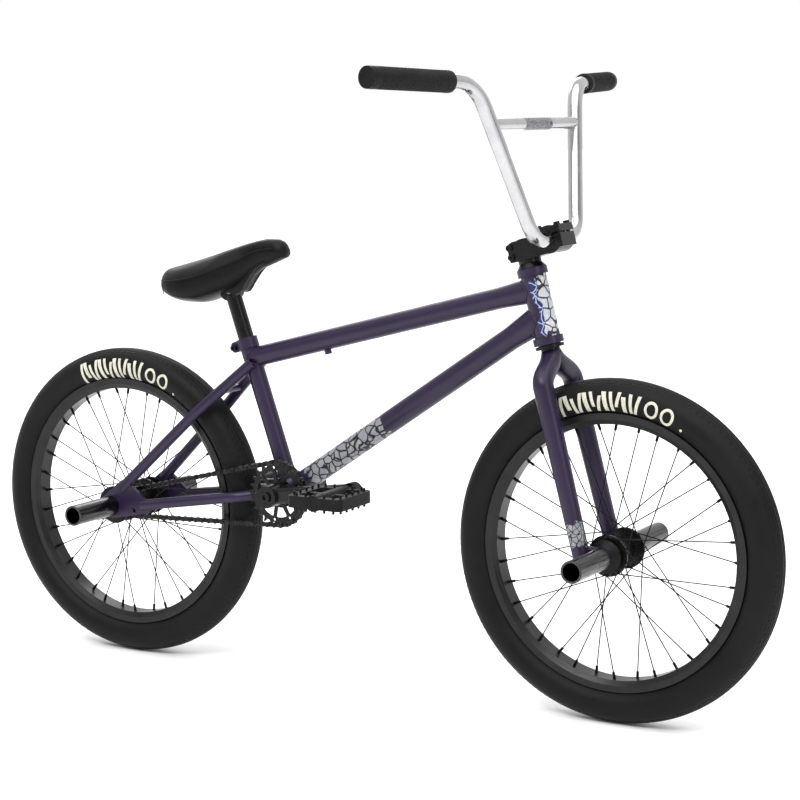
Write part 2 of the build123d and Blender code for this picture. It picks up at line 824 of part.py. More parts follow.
# ================================================================ handlebar
def bar_points():
    """Corners of the handlebar's centre line, from right grip end to left grip end."""
    low = bar_centre + left * bar_corner_half_width
    high = Vector(bar_centre.X - bar_leg_back, bar_leg_top_half_width, bar_centre.Z + bar_rise)
    end = high + Vector(-bar_sweep, bar_half_width - bar_leg_top_half_width, bar_upsweep)
    half = [low, high, end]
    return [Vector(p.X, -p.Y, p.Z) for p in reversed(half)] + half


def handlebar():
    """Swept tube with two legs, and a crossbar between them."""
    points = bar_points()
    radii = [bar_top_bend_radius, bar_bottom_bend_radius, bar_bottom_bend_radius, bar_top_bend_radius]
    path = FilletPolyline(*points, radius=radii)
    start = Plane(origin=path @ 0, z_dir=path % 0)
    outside = sweep(start * Circle(bar_radius), path=path)
    inside = sweep(start * Circle(bar_radius - bar_wall), path=path)
    low, high = points[3], points[4]
    joint = low + (high - low) * crossbar_share
    crossbar = rod((joint.X, -joint.Y, joint.Z), joint, crossbar_radius)
    return outside + crossbar - inside


def grip_line():
    """Left grip: its outer end and the direction from there along the bar."""
    points = bar_points()
    return points[5], (points[4] - points[5]).normalized()


def grip():
    outer, inward = grip_line()
    bore = bar_radius + grip_gap
    return pipe(outer, outer + inward * grip_length, grip_radius, grip_radius - bore)


def bar_plug():
    """End plug: a round cap on the grip's end and a stub inside the bar."""
    outer, inward = grip_line()
    cap = rod(outer - inward * bar_plug_thickness, outer, bar_plug_radius)
    stub = rod(outer, outer + inward * bar_plug_depth, bar_radius - bar_wall - press_gap)
    return cap + stub


# ================================================================ wheels
def tyre(centre):
    """Tyre casing: round in section, with its beads inside the rim's flanges."""
    bead_y = rim_half_width - rim_flange_thickness - press_gap
    lip = rim_outer_radius + 1.0
    shoulder_radius, shoulder_y = tyre_shoulder
    outer = [
        (bead_radius, bead_y), (lip, bead_y), (tyre_widest_radius, tyre_half_width),
        (shoulder_radius, shoulder_y), (tyre_radius, 0),
    ]
    inner = [
        (bead_radius, bead_y - tyre_wall), (lip + 2, bead_y - tyre_wall),
        (tyre_widest_radius, tyre_half_width - tyre_wall),
        (tyre_radius - tyre_tread, 0),
    ]

    def half(sign):
        """Edges of one half of the section, from the crown to the bead and back."""
        out = [(radius, sign * y) for radius, y in outer]
        inn = [(radius, sign * y) for radius, y in inner]
        return [
            Line(out[0], out[1]),
            Spline(out[1], out[2], out[3], out[4], tangents=[(0.75, sign * 0.66), (0, -sign)]),
            Line(out[0], inn[0]),
            Line(inn[0], inn[1]),
            Spline(inn[1], inn[2], inn[3], tangents=[(0.75, sign * 0.66), (0, -sign)]),
        ]

    section = make_face(Curve() + half(1) + half(-1))
    return turned(section, centre)


def inner_tube(centre):
    """Inflated tube inside the tyre."""
    middle = tyre_radius - tyre_tread - 2.0 - inner_tube_radius
    ring = Pos(middle, 0) * (Circle(inner_tube_radius) - Circle(inner_tube_radius - inner_tube_wall))
    return turned(ring, centre)


def rim_blank(centre):
    """Double-wall rim: a bed, two flanges and a closed box between them."""
    flange_y = rim_half_width - rim_flange_thickness
    half_outside = [
        (rim_inner_radius, rim_bed_half_width), (rim_inner_radius + 7.5, rim_half_width - 0.6),
        (rim_outer_radius, rim_half_width), (rim_outer_radius, flange_y),
        (rim_well_radius, flange_y), (rim_well_radius, flange_y - 7.5), (rim_well_radius - 3, flange_y - 9.5),
    ]
    half_box = [
        (rim_inner_radius + rim_wall, rim_bed_half_width - 1.2),
        (rim_inner_radius + 8.2, rim_half_width - 2.8),
        (rim_well_radius - rim_wall, flange_y - 0.6), (rim_well_radius - rim_wall, flange_y - 8.5),
        (rim_well_radius - rim_wall - 3, flange_y - 10.4),
    ]

    def closed(half):
        return outline_of(half + [(radius, -y) for radius, y in reversed(half)])

    return turned(closed(half_outside) - closed(half_box), centre)


def spoke_ends(index, flange_radius, flange_y):
    """One spoke's ends at rest: flange hole and rim hole, as polar (radius, angle, y).

    Spokes of one flange lie two rim holes apart.  Even ones lead and odd ones trail.
    """
    side = 1 if flange_y > 0 else -1
    per_flange = spoke_count // 2
    hole_step = 360 / per_flange
    leading = index % 2 == 0
    lean = spoke_crossings * hole_step * (1 if leading else -1)
    rim_angle = (index + (0 if side > 0 else 0.5)) * hole_step
    away = flange_thickness / 2 + spoke_radius + (spoke_outer_lift if leading else spoke_inner_lift)
    lift = away * (1 if leading else -1) * side
    hub_end = (flange_radius - spoke_circle_inset, rim_angle + lean, flange_y + lift)
    rim_end = (rim_inner_radius, rim_angle, side * rim_hole_stagger)
    return hub_end, rim_end


def polar(centre, radius, angle, y):
    """Point at this radius and angle about a wheel's axis."""
    return centre + Vector(radius * cos(radians(angle)), y, radius * sin(radians(angle)))


def spoke_set(centre, flange_radius, flanges):
    """All the spokes and nipples of one wheel, each made once per kind and then turned."""
    spokes, nipples = [], []
    axis = Axis(centre, (0, -1, 0))
    for flange_y in flanges:
        for kind in (0, 1):
            hub_end, rim_end = spoke_ends(kind, flange_radius, flange_y)
            start = polar(centre, *hub_end)
            end = polar(centre, *rim_end)
            along = (end - start).normalized()
            nipple_low = end - along * (nipple_length - rim_wall)
            nipple_high = end + along * rim_wall * 1.2
            away = 1 if hub_end[2] > flange_y else -1
            face = flange_y - away * (flange_thickness / 2 + press_gap)
            head_low = polar(centre, hub_end[0], hub_end[1], face)
            head_high = polar(centre, hub_end[0], hub_end[1], face - away * spoke_head_thickness)
            spoke = rod(start, nipple_low, spoke_radius) + rod(start, head_low, spoke_radius)
            spoke += Pos(*start) * Sphere(spoke_radius)
            spoke += rod(head_low, head_high, spoke_head_radius)
            nipple = rod(nipple_low, nipple_high, nipple_radius)
            for turn in range(spoke_count // 4):
                angle = turn * 2 * 360 / (spoke_count // 2)
                spokes.append(spoke.rotate(axis, angle))
                nipples.append(nipple.rotate(axis, angle))
    return spokes, nipples


def rim(centre, flanges):
    """Rim with its spoke holes."""
    body = rim_blank(centre)
    axis = Axis(centre, (0, -1, 0))
    for flange_y in flanges:
        _, rim_end = spoke_ends(0, front_flange_radius, flange_y)
        step = 360 / (spoke_count // 2)
        inside = polar(centre, rim_end[0] - 2, rim_end[1], rim_end[2])
        outside = polar(centre, rim_end[0] + rim_wall + 3, rim_end[1], rim_end[2])
        drill = rod(inside, outside, nipple_hole_radius)
        body -= [drill.rotate(axis, turn * step) for turn in range(spoke_count // 2)]
    return body


def flange_drills(centre, flange_radius, flange_y):
    """Spoke holes of one hub flange."""
    axis = Axis(centre, (0, -1, 0))
    drills = []
    for kind in (0, 1):
        hub_end, _ = spoke_ends(kind, flange_radius, flange_y)
        low = polar(centre, hub_end[0], hub_end[1], flange_y - flange_thickness)
        high = polar(centre, hub_end[0], hub_end[1], flange_y + flange_thickness)
        drill = rod(low, high, flange_hole_radius)
        for turn in range(spoke_count // 4):
            drills.append(drill.rotate(axis, turn * 4 * 360 / spoke_count))
    return drills


def hub_shell(centre, shell_radius, flange_radius, flanges, ends, bore, bearing_radius, bearing_width):
    """Hub shell with two flanges, a hollow middle and a seat for a bearing at each end."""
    low, high = min(ends), max(ends)
    shell = cross_rod(centre, low, high, shell_radius)
    half = flange_thickness / 2
    for flange_y in flanges:
        shell += cross_rod(centre, flange_y - half, flange_y + half, flange_radius)
    seat = bearing_radius + press_gap
    shell -= cross_rod(centre, low, high, bore)
    shell -= cross_rod(centre, low, low + bearing_width, seat)
    shell -= cross_rod(centre, high - bearing_width, high, seat)
    drills = []
    for flange_y in flanges:
        drills += flange_drills(centre, flange_radius, flange_y)
    return shell - drills


def bearing_pair(centre, ends, outer, inner, width):
    low, high = min(ends), max(ends)
    return [
        cross_ring(centre, low, low + width, outer, inner),
        cross_ring(centre, high - width, high, outer, inner),
    ]


def peg(centre, face_y):
    """Left peg: an open tube with a floor that the axle nut clamps."""
    end_y = face_y + peg_length
    tube = cross_rod(centre, face_y, end_y, peg_radius)
    tube -= cross_rod(centre, face_y + peg_floor, end_y, peg_radius - peg_wall)
    return tube


def pegs(centre, face_y, axle_radius):
    tube = peg(centre, face_y) - cross_rod(centre, face_y, face_y + peg_floor, axle_radius + press_gap)
    return both_sides(tube)


def axle_nuts(centre, face_y, axle_radius):
    """Nut and washer inside each peg."""
    floor_y = face_y + peg_floor
    nut_low = floor_y + washer_thickness
    plane = Plane(origin=(centre.X, nut_low, centre.Z), x_dir=(1, 0, 0), z_dir=(0, 1, 0))
    nut = plane * extrude(RegularPolygon(axle_nut_radius, 6), axle_nut_height)
    nut += cross_rod(centre, floor_y, nut_low, axle_nut_radius + 1.0)
    nut -= cross_rod(centre, floor_y, nut_low + axle_nut_height, axle_radius + press_gap)
    return both_sides(nut)


def axle(centre, radius, face_y):
    end = face_y + peg_floor + washer_thickness + axle_nut_height + axle_beyond_nut
    return cross_rod(centre, -end, end, radius)


def axle_spacers(centre, axle_radius, turning_ends, dropout_inner):
    """Sleeves between the turning parts and the dropouts."""
    low, high = min(turning_ends), max(turning_ends)
    inner = axle_radius + press_gap
    return [
        cross_ring(centre, high + side_gap, dropout_inner, spacer_radius, inner),
        cross_ring(centre, low - side_gap, -dropout_inner, spacer_radius, inner),
    ]


def hub_guard(centre, dropout_inner, radius, dish):
    """Dished plastic disc beside a dropout, its rim leaning towards the spokes."""
    face = dropout_inner - side_gap
    bore = spacer_radius + press_gap
    back = face - hub_guard_thickness
    section = outline_of([
        (bore, face), (guard_flat_radius, face), (radius, face - dish),
        (radius, back - dish), (guard_flat_radius, back), (bore, back),
    ])
    return turned(section, centre)


# ================================================================ drive
def tooth_gap(radius):
    """Space between two teeth: a roller seat that opens outwards."""
    seat = chain_roller_radius + roller_seat_gap
    wedge = outline_of([
        (radius, -seat), (radius, seat), (radius + 5.0, seat + 3.4), (radius + 5.0, -seat - 3.4),
    ])
    return Pos(radius, 0) * Circle(seat) + wedge


def toothed_disc(centre, teeth, phase, thickness):
    """Toothed disc on the chain line, with its roller seats at the given phase."""
    radius = pitch_radius(teeth)
    blank = Circle(radius + tooth_height)
    gap = tooth_gap(radius)
    for index in range(teeth):
        blank -= Rot(0, 0, phase + index * 360 / teeth) * gap
    plane = Plane(origin=(centre.X, -chain_line, centre.Z), x_dir=(1, 0, 0), z_dir=(0, -1, 0))
    return plane * extrude(blank, thickness / 2, both=True)


def chain_pins():
    """Places of the chain's pins in the side view, with each arc's first pin angle.

    The loop is counted in pitches: round the driver, along the top run, round the
    sprocket and back along the lower run.
    """
    big, small = pitch_radius(sprocket_teeth), pitch_radius(driver_teeth)
    run = bb - rear_axle
    distance = run.length
    tilt = degrees(atan2(run.Z, run.X))
    lean = degrees(asin((big - small) / distance))
    straight = distance * cos(radians(lean)) / chain_pitch
    small_arc = driver_teeth * (180 - 2 * lean) / 360
    big_arc = sprocket_teeth * (180 + 2 * lean) / 360
    upper = tilt + 90 + lean
    lower = tilt - 90 - lean
    pins = []
    angles = {}

    def along_line(centre_a, centre_b, angle, radius_a, radius_b, share):
        first = centre_a + Vector(cos(radians(angle)), 0, sin(radians(angle))) * radius_a
        last = centre_b + Vector(cos(radians(angle)), 0, sin(radians(angle))) * radius_b
        return first + (last - first) * share

    for index in range(chain_links):
        step = index + 0.5
        if step < small_arc:
            angle = lower + 360 - step * 360 / driver_teeth
            angles.setdefault("driver", angle)
            pins.append(polar(rear_axle, small, angle, 0))
            continue
        step -= small_arc
        if step < straight:
            pins.append(along_line(rear_axle, bb, upper, small, big, step / straight))
            continue
        step -= straight
        if step < big_arc:
            angle = upper - step * 360 / sprocket_teeth
            angles.setdefault("sprocket", angle)
            pins.append(polar(bb, big, angle, 0))
            continue
        step -= big_arc
        pins.append(along_line(bb, rear_axle, lower, big, small, step / straight))
    return pins, angles


def link_plate(half_gap, height):
    """Pair of figure-of-eight plates, half_gap from the chain line to their inner faces."""
    ends = Pos(-chain_pitch / 2, 0) * Circle(height / 2) + Pos(chain_pitch / 2, 0) * Circle(height / 2)
    outline = ends + Rectangle(chain_pitch, chain_plate_waist)
    plate = Plane.XZ * extrude(outline, chain_plate_thickness)
    return [Pos(0, -half_gap, 0) * plate, Pos(0, half_gap + chain_plate_thickness, 0) * plate]


def chain_link_kinds():
    """Outer link with its two pins, and inner link with its two rollers."""
    inner_half = chain_inner_width / 2
    outer_half = inner_half + chain_plate_thickness + chain_gap
    pin_half = outer_half + chain_plate_thickness + chain_pin_end
    ends = (place(-chain_pitch / 2, 0), place(chain_pitch / 2, 0))
    outer = Part() + link_plate(outer_half, chain_plate_height)
    inner = Part() + link_plate(inner_half, chain_plate_height)
    for end in ends:
        outer += cross_rod(end, -pin_half, pin_half, chain_pin_radius)
        inner += cross_rod(end, -inner_half, inner_half, chain_roller_radius)
        inner -= cross_rod(end, -outer_half, outer_half, chain_pin_radius + 0.3)
    return outer, inner


def chain():
    """The two kinds of link, laid alternately round the loop."""
    pins, _ = chain_pins()
    outer, inner = chain_link_kinds()
    nodes = ([], [])
    for index, pin in enumerate(pins):
        ahead = pins[(index + 1) % len(pins)]
        middle = (pin + ahead) * 0.5
        run = ahead - pin
        turn = -degrees(atan2(run.Z, run.X))
        kind = index % 2
        link = (outer, inner)[kind]
        spot = Location((middle.X, -chain_line, middle.Z), (0, turn, 0))
        nodes[kind].append(spot * link)
    return nodes


def sprocket():
    """Chainring with large windows, a hub and a ring of small holes under the teeth."""
    _, angles = chain_pins()
    disc = toothed_disc(bb, sprocket_teeth, angles["sprocket"], tooth_thickness)
    half = chain_line - spindle_shoulder
    disc += cross_rod(bb, -chain_line - half, -chain_line + half, sprocket_hub_radius)
    step = 360 / sprocket_windows
    for index in range(sprocket_windows):
        disc -= sprocket_window().rotate(Axis(bb, (0, -1, 0)), index * step)
        hole = cross_rod(bb + Vector(sprocket_hole_circle, 0, 0), -60, -20, sprocket_hole_radius)
        disc -= hole.rotate(Axis(bb, (0, -1, 0)), (index + 0.5) * step)
    disc -= cross_rod(bb, -60, -20, spindle_radius + press_gap)
    return disc


def sprocket_window():
    """One window: a sector between two radii with parallel ribs left beside it."""
    ring = Circle(sprocket_window_outer) - Circle(sprocket_window_inner)
    half_angle = radians(180 / sprocket_windows)
    reach = 2 * sprocket_window_outer
    back = sprocket_window_rib / 2 / sin(half_angle)
    wedge = outline_of([
        (back, 0), (reach, (reach - back) * tan(half_angle)), (reach, -(reach - back) * tan(half_angle)),
    ])
    sector = ring & wedge
    sector = fillet(sector.vertices(), 2.0)
    plane = Plane(origin=(bb.X, -chain_line, bb.Z), x_dir=(1, 0, 0), z_dir=(0, -1, 0))
    return plane * extrude(sector, 10.0, both=True)


def driver():
    """Nine-tooth driver on the rear axle."""
    _, angles = chain_pins()
    gear = toothed_disc(rear_axle, driver_teeth, angles["driver"], tooth_thickness)
    low, high = min(driver_inner, driver_outer), max(driver_inner, driver_outer)
    gear += cross_rod(rear_axle, low, -chain_line - 3.0, driver_body_radius - 2.0)
    gear += cross_rod(rear_axle, -chain_line - 3.0, -chain_line + 3.0, pitch_radius(driver_teeth) - 5.2)
    gear += cross_rod(rear_axle, -chain_line + 3.0, high, driver_body_radius)
    gear -= cross_rod(rear_axle, low, high, 9.5 + press_gap)
    return gear


def driver_bearing():
    low, high = min(driver_inner, driver_outer), max(driver_inner, driver_outer)
    return cross_ring(rear_axle, low, high, 9.5, rear_axle_radius + running_gap)


def bb_bearings():
    """Bearings pressed into the shell's ends."""
    outer_y = bb_shell_width / 2 + bb_bearing_rim
    inner_y = outer_y - bb_bearing_width
    ring = cross_ring(bb, inner_y, outer_y, bb_bearing_radius, spindle_radius + running_gap)
    return both_sides(ring)


def crank_spindle():
    end = crank_boss_outer - 4.0
    return cross_rod(bb, -end, end, spindle_radius)


def crank_washers():
    """Sleeves that fill the spindle between the bearings and the arms."""
    inner = spindle_radius + press_gap
    sprocket_outer = 2 * chain_line - spindle_shoulder
    return [
        cross_ring(bb, spindle_shoulder, crank_boss_inner, crank_washer_radius, inner),
        cross_ring(bb, -crank_boss_inner, -sprocket_outer, crank_washer_radius, inner),
    ]


def pedal_centre(side):
    """Side-view place of a pedal's axle; side is -1 on the right and +1 on the left."""
    reach = crank_length if side < 0 else -crank_length
    return bb + Vector(reach * cos(radians(crank_rise_angle)), 0, reach * sin(radians(crank_rise_angle)))


def crank_arm(side):
    """Arm from the spindle to the pedal, stepping outwards along its length."""
    pedal = pedal_centre(side)
    run = (pedal - bb).normalized()
    boss_mid = (crank_boss_inner + crank_boss_outer) / 2
    pedal_mid = crank_pedal_face - crank_arm_thickness / 2
    arm = cross_rod(bb, side * crank_boss_inner, side * crank_boss_outer, crank_boss_radius)
    pedal_inner = crank_pedal_face - crank_arm_thickness - 2.0
    arm += cross_rod(pedal, side * pedal_inner, side * crank_pedal_face, crank_pedal_boss_radius)
    start = bb + left * (side * boss_mid)
    end = pedal + left * (side * pedal_mid)
    direction = (end - start).normalized()
    across = direction.cross(Vector(run.Z, 0, -run.X)).normalized()
    section = RectangleRounded(crank_arm_height, crank_arm_thickness, 6.0)
    plane = Plane(origin=start, x_dir=across.cross(direction), z_dir=direction)
    arm += plane * extrude(section, (end - start).length)
    arm -= cross_rod(bb, -100, 100, spindle_radius + press_gap)
    bore = pedal_axle_radius + press_gap
    arm -= cross_rod(pedal, side * (pedal_inner - 20), side * (crank_pedal_face + 5), bore)
    return arm


def crank_end_bolts():
    """Bolt in each end of the spindle, its head over the arm's boss."""
    bolts = []
    for side in (-1, 1):
        head = cross_rod(bb, side * (crank_boss_outer - 4.0), side * (crank_boss_outer + crank_bolt_head),
                         crank_bolt_radius)
        socket = cross_rod(bb, side * crank_boss_outer, side * (crank_boss_outer + crank_bolt_head), 4.0)
        bolts.append(head - socket)
    return bolts


def pedal_span():
    """Inner and outer distance of a pedal's body from the middle plane."""
    inner = crank_pedal_face + pedal_axle_flange + side_gap
    return inner, inner + pedal_width


def pedal_axles():
    """Axle of each pedal, screwed into the arm, with a flange against it."""
    inner, outer = pedal_span()
    axles = []
    for side in (-1, 1):
        pedal = pedal_centre(side)
        thread_start = crank_pedal_face - crank_arm_thickness - 2.0
        body = cross_rod(pedal, side * thread_start, side * (outer - pedal_end_cap - 1.0), pedal_axle_radius)
        flange_end = crank_pedal_face + pedal_axle_flange
        body += cross_rod(pedal, side * crank_pedal_face, side * flange_end, pedal_axle_flange_radius)
        axles.append(body)
    return axles


def pedal(side):
    """Platform pedal: an outer frame, cross ribs, a barrel for the axle and moulded pins."""
    centre = pedal_centre(side)
    inner, outer = pedal_span()
    half_length, half_width = pedal_length / 2, pedal_width / 2
    plate = RectangleRounded(pedal_length, pedal_width, pedal_corner_radius)
    opening = RectangleRounded(
        pedal_length - 2 * pedal_frame_bar, pedal_width - 2 * pedal_frame_bar, pedal_corner_radius / 2
    )
    core = extrude(plate - opening, pedal_thickness * 0.36, both=True)
    rib = Rectangle(pedal_length - pedal_frame_bar, 8.0)
    core += extrude(rib, pedal_thickness * 0.30, both=True)
    body = Pos(centre.X, side * (inner + outer) / 2, centre.Z) * core
    body += cross_rod(centre, side * inner, side * outer, pedal_barrel_radius)
    for along in (-0.82, -0.41, 0.0, 0.41, 0.82):
        for edge in (-1, 1):
            for x_pos, y_pos in (
                (edge * (half_length - pedal_frame_bar / 2), along * (half_width - 6)),
                (along * (half_length - 8), edge * (half_width - pedal_frame_bar / 2)),
            ):
                spot = Pos(centre.X + x_pos, side * (inner + outer) / 2 + y_pos, centre.Z)
                height = pedal_thickness + 2 * (pedal_pin_height - 1.5)
                body += spot * Cylinder(pedal_pin_radius, height)
    bore = pedal_axle_radius + running_gap
    body -= cross_rod(centre, side * (inner - 1), side * (outer - pedal_end_cap), bore)
    return body


# ================================================================ seat
def seat_post():
    """Post with a rounded head, slotted so that the seat's bolt can swing in it."""
    low = bb + seat_up * seat_post_bottom
    neck = seat_pivot_point - seat_up * seat_head_radius / 2
    half = seat_head_width / 2
    post = rod(low, neck, seat_post_radius)
    post += cross_rod(seat_pivot_point, -half, half, seat_head_radius)
    bore_end = seat_pivot_point - seat_up * (seat_head_radius + 8.0)
    post -= rod(low, bore_end, seat_post_radius - seat_post_wall)
    post -= cross_rod(seat_pivot_point, -half, half, seat_nut_radius + running_gap)
    room = radians(seat_tilt_room)
    reach = 2 * seat_head_radius
    spread = seat_bolt_radius / cos(room) + reach * tan(room)
    slot = Pos(seat_pivot_point.X, seat_pivot_point.Z) * outline_of([
        (-seat_bolt_radius, 0), (-spread, reach), (spread, reach), (seat_bolt_radius, 0),
    ])
    slot_half = seat_bolt_radius + side_gap
    post -= side_plate(slot, -slot_half, slot_half)
    return post


def seat_bolt():
    """Bolt from the seat's base down to a barrel nut that turns in the post's head."""
    half = seat_head_width / 2 - 1.0
    nut = cross_rod(seat_pivot_point, -half, half, seat_nut_radius)
    top = seat_pivot_point + Vector(0, 0, seat_bolt_length)
    return nut + rod(seat_pivot_point, top, seat_bolt_radius)


seat_nose = (109, 58)
seat_tail = (-119, 8)
seat_top_line = [(104, 71), (92, 79), (72, 81), (34, 72), (-12, 58), (-60, 44), (-88, 37), (-111, 28)]
seat_under_line = [(-108, -6), (-84, -14), (-54, -13), (-30, -3), (17, 2), (44, 24), (62, 41), (90, 50)]
seat_half_plan = [(104, 16), (62, 20), (30, 27), (-8, 43), (-48, 54), (-84, 53), (-104, 44), (-116, 26)]


def seat_profile():
    """Side view of the seat about the pivot: nose high, tail low."""
    top = Spline(seat_nose, *seat_top_line, seat_tail)
    under = Spline(seat_tail, *seat_under_line, seat_nose)
    return make_face([top, under])


def seat_plan(inset):
    """Plan of the seat about the pivot: narrow nose and wide tail."""
    nose = (seat_nose[0] + 3 - inset, 0)
    tail = (seat_tail[0] - 4 + inset, 0)
    side = [(x, y - inset) for x, y in seat_half_plan]
    other_side = [(x, -y) for x, y in side]
    left_edge = Spline(nose, *side, tail)
    right_edge = Spline(nose, *other_side, tail)
    return make_face([left_edge, right_edge])


def seat_block(profile, inset):
    """Side-view face about the pivot, cut to the plan."""
    half = 100.0
    slab = side_plate(Pos(seat_pivot_point.X, seat_pivot_point.Z) * profile, -half, half)
    low = seat_pivot_point.Z - half
    plan = Pos(seat_pivot_point.X, 0, low) * extrude(seat_plan(inset), 3 * half)
    return slab & plan


def seat_pad():
    """Padded top of the seat."""
    return seat_block(seat_profile(), 0) - seat_base_blank()


def seat_base_blank():
    """Plate along the underside of the pad, with a block that sits on the post's head."""
    upper = [(x, z + seat_base_thickness / 2) for x, z in seat_under_line[1:]]
    lower = [(x, z - seat_base_thickness / 2) for x, z in reversed(seat_under_line[1:])]
    plate = seat_block(outline_of(upper + lower), seat_base_inset)
    width = seat_head_width + 2 * seat_socket_wall
    top = seat_bolt_length + 6.0
    block = Pos(seat_pivot_point.X, 0, seat_pivot_point.Z + top / 2) * Box(seat_socket_length, width, top)
    return plate + block


def seat_base():
    """Moulded base; its underside follows the post's rounded head and leaves room for the bolt."""
    base = seat_base_blank()
    half = seat_head_width / 2 + side_gap
    base -= cross_rod(seat_pivot_point, -half, half, seat_head_radius + seat_socket_gap)
    post_room = seat_post_radius + 10.0
    away = seat_pivot_point - Vector(0, 0, 2 * post_room)
    base -= rod(away, seat_pivot_point, post_room)
    top = seat_pivot_point + Vector(0, 0, seat_bolt_length)
    base -= rod(seat_pivot_point, top, seat_bolt_radius + press_gap)
    return base


# ================================================================ assembly
def save_frame():
    keep("head_tube", head_tube())
    keep("top_tube", top_tube())
    keep("down_tube", down_tube())
    keep("seat_tube", seat_tube())
    keep("bottom_bracket_shell", bb_shell())
    keep("chain_stays", both_sides(chain_stay()))
    keep("seat_stays", both_sides(seat_stay()))
    keep("stay_bridge", stay_bridge())
    keep("rear_dropouts", rear_dropouts())
    keep("cable_boss", cable_boss())
    keep("seat_clamp_bolt", seat_clamp_bolt())
    keep("headset_bearings", headset_bearings())
    keep("bottom_bracket_bearings", bb_bearings())
    face = rear_dropout_outer
    ends = (driver_outer, rear_hub_left)
    spacers = axle_spacers(rear_axle, rear_axle_radius, ends, rear_dropout_inner)
    nuts = axle_nuts(rear_axle, face, rear_axle_radius)
    keep("rear_axle", [axle(rear_axle, rear_axle_radius, face)] + spacers + nuts)
    guard = hub_guard(rear_axle, rear_dropout_inner, rear_guard_radius, rear_guard_dish)
    keep("rear_hub_guards", both_sides(guard))
    keep("rear_pegs", pegs(rear_axle, face, rear_axle_radius))


def save_fork():
    keep("fork_steerer", [fork_steerer(), fork_crown_race()])
    keep("fork_legs", fork_legs())
    keep("fork_dropouts", fork_dropouts())
    keep("headset_cover", [headset_cover(), headset_spacer()])
    body, cap = stem_body_and_cap()
    keep("stem_body", body)
    keep("stem_cap", cap)
    keep("stem_bolts", stem_bolts())
    keep("steerer_top_bolt", steerer_top_bolt())
    face = front_dropout_outer
    ends = (-front_hub_half_length, front_hub_half_length)
    spacers = axle_spacers(front_axle, front_axle_radius, ends, front_dropout_inner)
    nuts = axle_nuts(front_axle, face, front_axle_radius)
    keep("front_axle", [axle(front_axle, front_axle_radius, face)] + spacers + nuts)
    guard = hub_guard(front_axle, front_dropout_inner, front_guard_radius, front_guard_dish)
    keep("front_hub_guards", both_sides(guard))
    keep("front_pegs", pegs(front_axle, face, front_axle_radius))


def save_handlebar():
    keep("handlebar", handlebar())
    keep("grips", both_sides(grip()))
    keep("bar_end_plugs", both_sides(bar_plug()))


def save_wheel(name, centre, flanges, flange_radius, hub, bearings):
    keep(name + "_tyre", tyre(centre))
    keep(name + "_inner_tube", inner_tube(centre))
    keep(name + "_rim", rim(centre, flanges))
    spokes, nipples = spoke_set(centre, flange_radius, flanges)
    keep(name + "_spokes", spokes)
    keep(name + "_nipples", nipples)
    keep(name + "_hub", hub)
    keep(name + "_hub_bearings", bearings)


def save_wheels():
    flanges = (-front_flange_spacing, front_flange_spacing)
    ends = (-front_hub_half_length, front_hub_half_length)
    hub = hub_shell(
        front_axle, front_hub_shell_radius, front_flange_radius, flanges, ends,
        front_axle_radius + 3.0, front_bearing_radius, front_bearing_width,
    )
    bore = front_axle_radius + running_gap
    bearings = bearing_pair(front_axle, ends, front_bearing_radius, bore, front_bearing_width)
    save_wheel("front", front_axle, flanges, front_flange_radius, hub, bearings)
    flanges = (rear_flange_right, rear_flange_left)
    ends = (rear_hub_right, rear_hub_left)
    hub = hub_shell(
        rear_axle, rear_hub_shell_radius, rear_flange_radius, flanges, ends,
        rear_axle_radius + 3.0, rear_bearing_radius, rear_bearing_width,
    )
    bore = rear_axle_radius + running_gap
    bearings = bearing_pair(rear_axle, ends, rear_bearing_radius, bore, rear_bearing_width)
    save_wheel("rear", rear_axle, flanges, rear_flange_radius, hub, bearings)


def save_drive():
    keep("driver", [driver(), driver_bearing()])
    outer_links, inner_links = chain()
    keep("chain_outer_links", outer_links)
    keep("chain_inner_links", inner_links)
    keep("crank_spindle", [crank_spindle()] + crank_washers())
    keep("crank_arm_right", crank_arm(-1))
    keep("crank_arm_left", crank_arm(1))
    keep("crank_end_bolts", crank_end_bolts())
    keep("sprocket", sprocket())
    keep("pedal_axles", pedal_axles())
    keep("pedal_right", pedal(-1))
    keep("pedal_left", pedal(1))


def save_seat():
    keep("seat_post", seat_post())
    keep("seat_bolt", seat_bolt())
    keep("seat_base", seat_base())
    keep("seat_pad", seat_pad())


save_frame()
save_fork()
save_handlebar()
save_wheels()
save_drive()
save_seat()
os.makedirs("parts", exist_ok=True)
for node, shape in parts.items():
    export_step(shape, "parts/" + node + ".step")
    print(node, round(shape.volume), len(shape.solids()))
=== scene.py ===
"""BMX bike: node materials for the CAD nodes, with new tyres, tyre marks, grips, seat, seams and welds.

Metres and radians throughout.  Forward is +X, left is +Y, up is +Z.
"""
import json
import math

